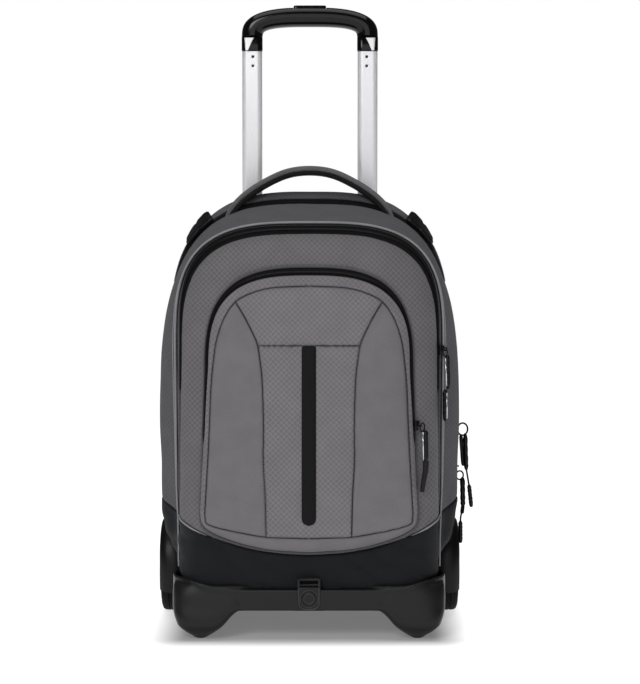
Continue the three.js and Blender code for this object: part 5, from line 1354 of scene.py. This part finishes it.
def build_tyre(sign, side):
    """Rubber tyre with two grooves, turned about its axle"""
    half, middle = TYRE_HALF, TYRE_MIDDLE
    profile = [(-half + 2, TYRE_BORE), (-half, 37), (-half, 43), (-half + 1.3, 46.2), (-half + 4, 47.7),
               (-4.4, 48), (-4.0, 47), (-3.2, 47), (-2.8, 48), (2.8, 48), (3.2, 47), (4.0, 47),
               (4.4, 48), (half - 4, 47.7), (half - 1.3, 46.2), (half, 43), (half, 37),
               (half - 2, TYRE_BORE)]
    rings = []
    for a in np.linspace(0, 2 * math.pi, 128, endpoint=False):
        rings.append([(sign * (middle + x), WHEEL_DEPTH + r * math.cos(a),
                       WHEEL_HEIGHT + r * math.sin(a)) for x, r in profile])
    loft(f"rubber_{side}", rings, RUBBER, f"wheel_{side}", caps=False, angle=60,
         replaces=[f"tyre_{side}"])


def build_housing(sign, side):
    """Arch over a wheel: an inner plate, a band over the top and an outer lip with a round window"""
    def reach(angle, grow=0.0):
        c, k = math.cos(angle), math.sin(angle)
        deep, tall = HOUSING_HALF_DEPTH + grow, HOUSING_TOP - WHEEL_HEIGHT + grow
        if k >= 0:
            return (abs(c / deep) ** 2.3 + abs(k / tall) ** 2.3) ** (-1 / 2.3)
        down = WHEEL_HEIGHT - HOUSING_LOW + grow
        return min(deep / max(abs(c), 1e-9), down / abs(k))

    inner, outer, start_radius = HOUSING_INNER, HOUSING_OUTER, PLATE_REACH - 1
    start = math.atan2(-(WHEEL_HEIGHT - HOUSING_LOW), HOUSING_HALF_DEPTH)
    rings = []
    for angle in np.linspace(start, math.pi - start, 130):
        far = reach(angle)
        profile = [(inner, start_radius), (inner, far - 0.8), (inner + 0.8, far), (outer - 10, far),
                   (outer - 5, far - 1.2), (outer - 2, far - 3.4), (outer - 0.4, far - 5.2),
                   (outer, far - 6.3), (outer, LIP_RADIUS + 0.6), (outer - 0.8, LIP_RADIUS),
                   (outer - 3, LIP_RADIUS), (outer - 3, far - 7), (outer - 6.5, far - 4),
                   (inner + HOUSING_PLATE, far - 3), (inner + HOUSING_PLATE, start_radius)]
        low = step(HOUSING_TOP - 30, HOUSING_LOW - 8, WHEEL_HEIGHT + far * math.sin(angle))
        ring = []
        for x, r in profile:
            if x > LIP_START:
                x = x - 0.3 * low * (x - LIP_START) * max(r - LIP_RADIUS, 0) / (far - LIP_RADIUS)
            ring.append((sign * x, WHEEL_DEPTH + r * math.cos(angle), WHEEL_HEIGHT + r * math.sin(angle)))
        rings.append(ring)
    loft(f"fender_{side}", rings, FENDER_SHADED, "bag_and_frame", angle=50,
         replaces=[f"wheel_housing_{side}"])
    plate = []
    for x in (HOUSING_INNER + 0.2, HOUSING_INNER + HOUSING_PLATE - 0.2):
        for r in (PLATE_BORE, None):
            plate.append([])
            for angle in np.linspace(0, 2 * math.pi, 120, endpoint=False):
                radius = r or min(reach(angle), PLATE_REACH)
                plate[-1].append((sign * x, WHEEL_DEPTH + radius * math.cos(angle),
                                  WHEEL_HEIGHT + radius * math.sin(angle)))
    rings = [plate[0], plate[1], plate[3], plate[2]]
    loft(f"fender_plate_{side}", rings, FENDER_SHADED, "bag_and_frame", caps=False, angle=50,
         replaces=[f"wheel_housing_{side}"])


for sign, side in ((1, "right"), (-1, "left")):
    x = sign * TUBE_SPACING / 2
    dimples = [(-sign * 1.2, TUBE_TOP - drop) for drop in (7, 18.2)]
    hollow_tube(f"inner_tube_{side}", x, TUBE_LOW, TUBE_TOP, INNER_TUBE, "handle", dimples,
                [f"handle_tube_{side}"])
    hollow_tube(f"outer_tube_{side}", x, FRAME_LOW, FRAME_HIGH, OUTER_TUBE, "bag_and_frame", (),
                [f"frame_tube_{side}"])
    build_collar(sign, side)
    build_housing(sign, side)
    build_tyre(sign, side)
    build_collar_reflection_and_rivets(sign, side, x)
build_grip()
build_base()


def ring_loop(middle, radius, tall, lean):
    """An oval wire loop, standing up, turned about the vertical by lean"""
    a = np.linspace(0, 2 * math.pi, 40)
    across = np.array([math.cos(lean), math.sin(lean), 0])
    up = np.column_stack([0 * a, 0 * a, tall * np.sin(a)])
    return np.array(middle) + radius * np.cos(a)[:, None] * across + up


def barrel(name, start, end, radius, material, body="bag_and_frame", ribs=0):
    """A moulded grip, round in section, thinner at both ends"""
    t = np.linspace(0, 1, 40)
    path = np.array(start) + (np.array(end, float) - start) * t[:, None]
    shape = radius * (0.35 + 0.65 * np.minimum(1, np.sqrt(np.minimum(t, 1 - t) / 0.12)))
    if ribs:
        shape = shape * (1 - 0.09 * (np.sin(t * math.pi * 2 * ribs) > 0.2))
    return tube(name, path, shape, material, body, sides=20)


def pull_loop(name, middle, radius, tall, lean, wire, pull):
    """The wire loop between a slider and its grip"""
    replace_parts(tube(name, ring_loop(middle, radius, tall, lean), wire, PULL), pull)


def bright_edge(name, points, radius):
    """The bright line down the side of a grip"""
    tube(name, points, radius, BRIGHT)


def build_pulls():
    """Rings, grips, cords and tips that hang from the sliders"""
    main_y, pocket_y = -52, -97
    side, tail = main_y - 2.6, main_y - 1.6
    pull_loop("main_loop", (157.6, main_y + 4, 324), 3.6, 5.2, 0.8, 0.9, "main_pull")
    barrel("main_tab", (159.8, main_y, 321), (161, main_y, 281), 2.9, BUCKLE, ribs=7)
    bright_edge("main_edge", [(157.4, side, 317), (158.2, side, 300), (158.6, side, 285)], 0.75)
    barrel("main_tail", (157.4, main_y + 1, 281), (157.6, main_y + 1, 244), 3.0, BUCKLE, ribs=5)
    bright_edge("main_tail_edge", [(159.2, tail, 277), (159.4, tail, 260), (159.2, tail, 247)], 0.7)
    pull_loop("pocket_loop", (128.6, pocket_y + 3, 241), 3.8, 5.0, 0.8, 0.9, "pocket_pull")
    barrel("pocket_tab", (131.8, pocket_y, 238), (132.6, pocket_y, 202), 3.4, BUCKLE)
    bright_edge("pocket_edge", [(129.0, pocket_y - 2.4, 236), (129.1, pocket_y - 2.6, 220),
                                (129.4, pocket_y - 2.4, 204)], 0.8)
    route = through([(132.5, pocket_y, 203), (132, pocket_y, 192), (130, pocket_y, 180),
                     (128.2, pocket_y, 168)], 30)
    strap("pocket_tail", route, np.linspace(7, 5, 30), 3.0, BUCKLE, (1, 0, 0), puff=0.4,
          edge=0.5)
    pull_loop("high_loop", (185.2, 38, 226), 6.2, 7.4, 0.1, 1.1, "rear_pull_high")
    barrel("high_link", (183.2, 40, 220), (186.0, 40, 181), 2.3, PULL)
    barrel("high_tab", (188.4, 38, 221), (190.0, 38, 176), 2.9, BUCKLE, ribs=4)
    cord = through([(189.8, 38, 178), (191.2, 38, 170), (193.6, 38, 156)], 20)
    tube("high_cord", cord, 1.1, TAPE)
    barrel("high_tip", (193.2, 38, 159), (196.3, 38, 131), 2.7, BUCKLE, ribs=6)
    pull_loop("low_loop", (181.2, 30, 171), 4.6, 5.2, 0.2, 1.0, "rear_pull_low")
    barrel("low_tab", (184.4, 28, 169), (184.6, 21, 134), 3.2, BUCKLE, ribs=4)
    barrel("low_knot", (184.4, 20, 136), (183.2, 18, 126), 2.4, TAPE)
    cord = through([(183.6, 19, 130), (181.6, 17, 122), (181.2, 16, 114)], 20)
    tube("low_cord", cord, 1.1, TAPE)
    barrel("low_tip", (181.2, 16, 118), (181.4, 15, 91), 2.7, BUCKLE, ribs=6)


build_pulls()


def build_latch():
    """The raised rim of the latch's tab, and the two rings moulded round its button, paler than the base
    as painted highlight
    """
    front, half, low, high, middle = -BASE_FRONT - 1.2, 11.4, 36.2, 60.4, 48
    radius = 8
    right = [(half, high), (half, low + radius)]
    right += [(half - radius * (1 - math.cos(a)), low + radius * (1 - math.sin(a)))
              for a in np.linspace(0, math.pi / 2, 10)[1:]]
    whole = right + [(-x, z) for x, z in right[::-1]]
    path = evenly(np.array([(x, front, z) for x, z in whole]), 90)
    tube("latch_rim", path, 0.75, RIM_LIT)
    for name, size, y, body in (("outer", 9.6, front, "bag_and_frame"),
                                ("inner", 5.6, front - 0.15, "latch_button")):
        a = np.linspace(0, 2 * math.pi, 72)
        path = np.column_stack([size * np.cos(a), np.full(72, y), middle + size * np.sin(a)])
        tube(f"latch_ring_{name}", path, 0.5, RIM_LIT, body)


build_latch()

HARD = [
    # node, material, slot, body, rounding in mm
    ("frame_bridge", BASE, "base_plastic", "bag_and_frame", 1.0),
    ("latch_tab", BASE, "base_plastic", "bag_and_frame", 0.5),
    ("latch_button", BASE, "base_plastic", "latch_button", 0.6),
    ("latch_yoke", BASE, "base_plastic", "bag_and_frame", 0.4),
    ("pocket_slider", PULL, "zip_metal", "bag_and_frame", 0.3),
    ("main_slider", PULL, "zip_metal", "bag_and_frame", 0.3),
    ("rear_slider_high", PULL, "zip_metal", "bag_and_frame", 0.3),
    ("rear_slider_low", PULL, "zip_metal", "bag_and_frame", 0.3),
]
for side in ("left", "right"):
    HARD += [
        (f"strap_adjuster_{side}", BUCKLE, "buckle_plastic", "bag_and_frame", 0.5),
        (f"hub_{side}", BASE, "base_plastic", f"wheel_{side}", 0.5),
        (f"axle_{side}", PULL, "zip_metal", "bag_and_frame", 0.4),
    ]
for name, material, slot, body, bevel in HARD:
    dress(name, material, slot, body, bevel)

# Floor and light.
FLOOR_SIZE = 6.0
# The floor's glow round the object's footprint, where it paints a shadow, and far from it.
FLOOR_GLOW_IN_PAINTED_SHADOW, FLOOR_GLOW_FAR = 0.16, 1.0


def build_floor():
    """A pale floor. It glows away from the object, so it meets the white world with no line; round the
    object's footprint it glows less, which paints a soft shadow there.
    """
    mesh = bpy.data.meshes.new("floor")
    far = FLOOR_SIZE
    mesh.from_pydata([(-far, -far, 0), (far, -far, 0), (far, far, 0), (-far, far, 0)], [], [(0, 1, 2, 3)])
    floor = bpy.data.objects.new("floor", mesh)
    bpy.context.scene.collection.objects.link(floor)
    material, tree, principled = shader("floor")
    place = node(tree, "TexCoord").outputs["Object"]
    split = node(tree, "SeparateXYZ", {0: place}).outputs
    # painted shadow: the glow is low inside a box round the base's footprint and rises to full within 6
    # cm outside it
    past_painted_shadow_box = []
    for axis, half in ((0, 0.14), (1, 0.1)):
        past = maths(tree, "SUBTRACT", maths(tree, "ABSOLUTE", split[axis]), half)
        past_painted_shadow_box.append(maths(tree, "MAXIMUM", past, 0.0))
    away = maths(tree, "SQRT", maths(tree, "ADD", maths(tree, "POWER", past_painted_shadow_box[0], 2.0),
                                     maths(tree, "POWER", past_painted_shadow_box[1], 2.0)))
    glow_with_painted_shadow = ramp(tree, away, 0.0, 0.06, FLOOR_GLOW_IN_PAINTED_SHADOW, FLOOR_GLOW_FAR)
    tree.links.new(glow_with_painted_shadow, principled.inputs["Emission Strength"])
    principled.inputs["Emission Color"].default_value = (1, 1, 1, 1)
    principled.inputs["Base Color"].default_value = (0.46, 0.46, 0.46, 1)
    principled.inputs["Roughness"].default_value = 0.9
    principled.inputs["Specular IOR Level"].default_value = 0.1
    mesh.materials.append(material)
    floor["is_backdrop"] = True


WORLD_LIGHT = 0.09


def build_world():
    """White where it is seen behind the object, and dimmer as a light"""
    world = bpy.data.worlds.new("world")
    bpy.context.scene.world = world
    world.use_nodes = True
    tree = world.node_tree
    background = tree.nodes["Background"]
    background.inputs[0].default_value = (1, 1, 1, 1)
    seen = tree.nodes.new("ShaderNodeLightPath").outputs["Is Camera Ray"]
    tree.links.new(ramp(tree, seen, 0, 1, WORLD_LIGHT, 1.0), background.inputs[1])


LAMPS = [
    # name, place, aim, size, power in W
    ("front", (0.05, -3.7, 1.3), (0, 0, 0.4), (2.0, 2.0), 21),
    ("key", (-1.0, -2.5, 1.9), (0, 0, 0.3), (1.0, 1.0), 34),
    ("top", (0, -0.2, 2.4), (0, 0, 0.3), (2.0, 1.6), 24),
]


def lamp(name, place, aim, size, power):
    """One rectangular lamp"""
    data = bpy.data.lights.new(name, "AREA")
    data.shape = "RECTANGLE"
    data.size, data.size_y = size
    data.energy = power
    made = bpy.data.objects.new(name, data)
    made.location = place
    made.rotation_euler = (Vector(aim) - Vector(place)).to_track_quat("-Z", "Y").to_euler()
    bpy.context.scene.collection.objects.link(made)


build_floor()
build_world()
for row in LAMPS:
    lamp(*row)
bpy.context.scene.view_settings.view_transform = "Standard"

bpy.context.view_layer.update()
plain = lambda box: [list(map(float, corner)) for corner in box]
{"cad": plain(CAD_BOX), "visual": plain(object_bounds())}
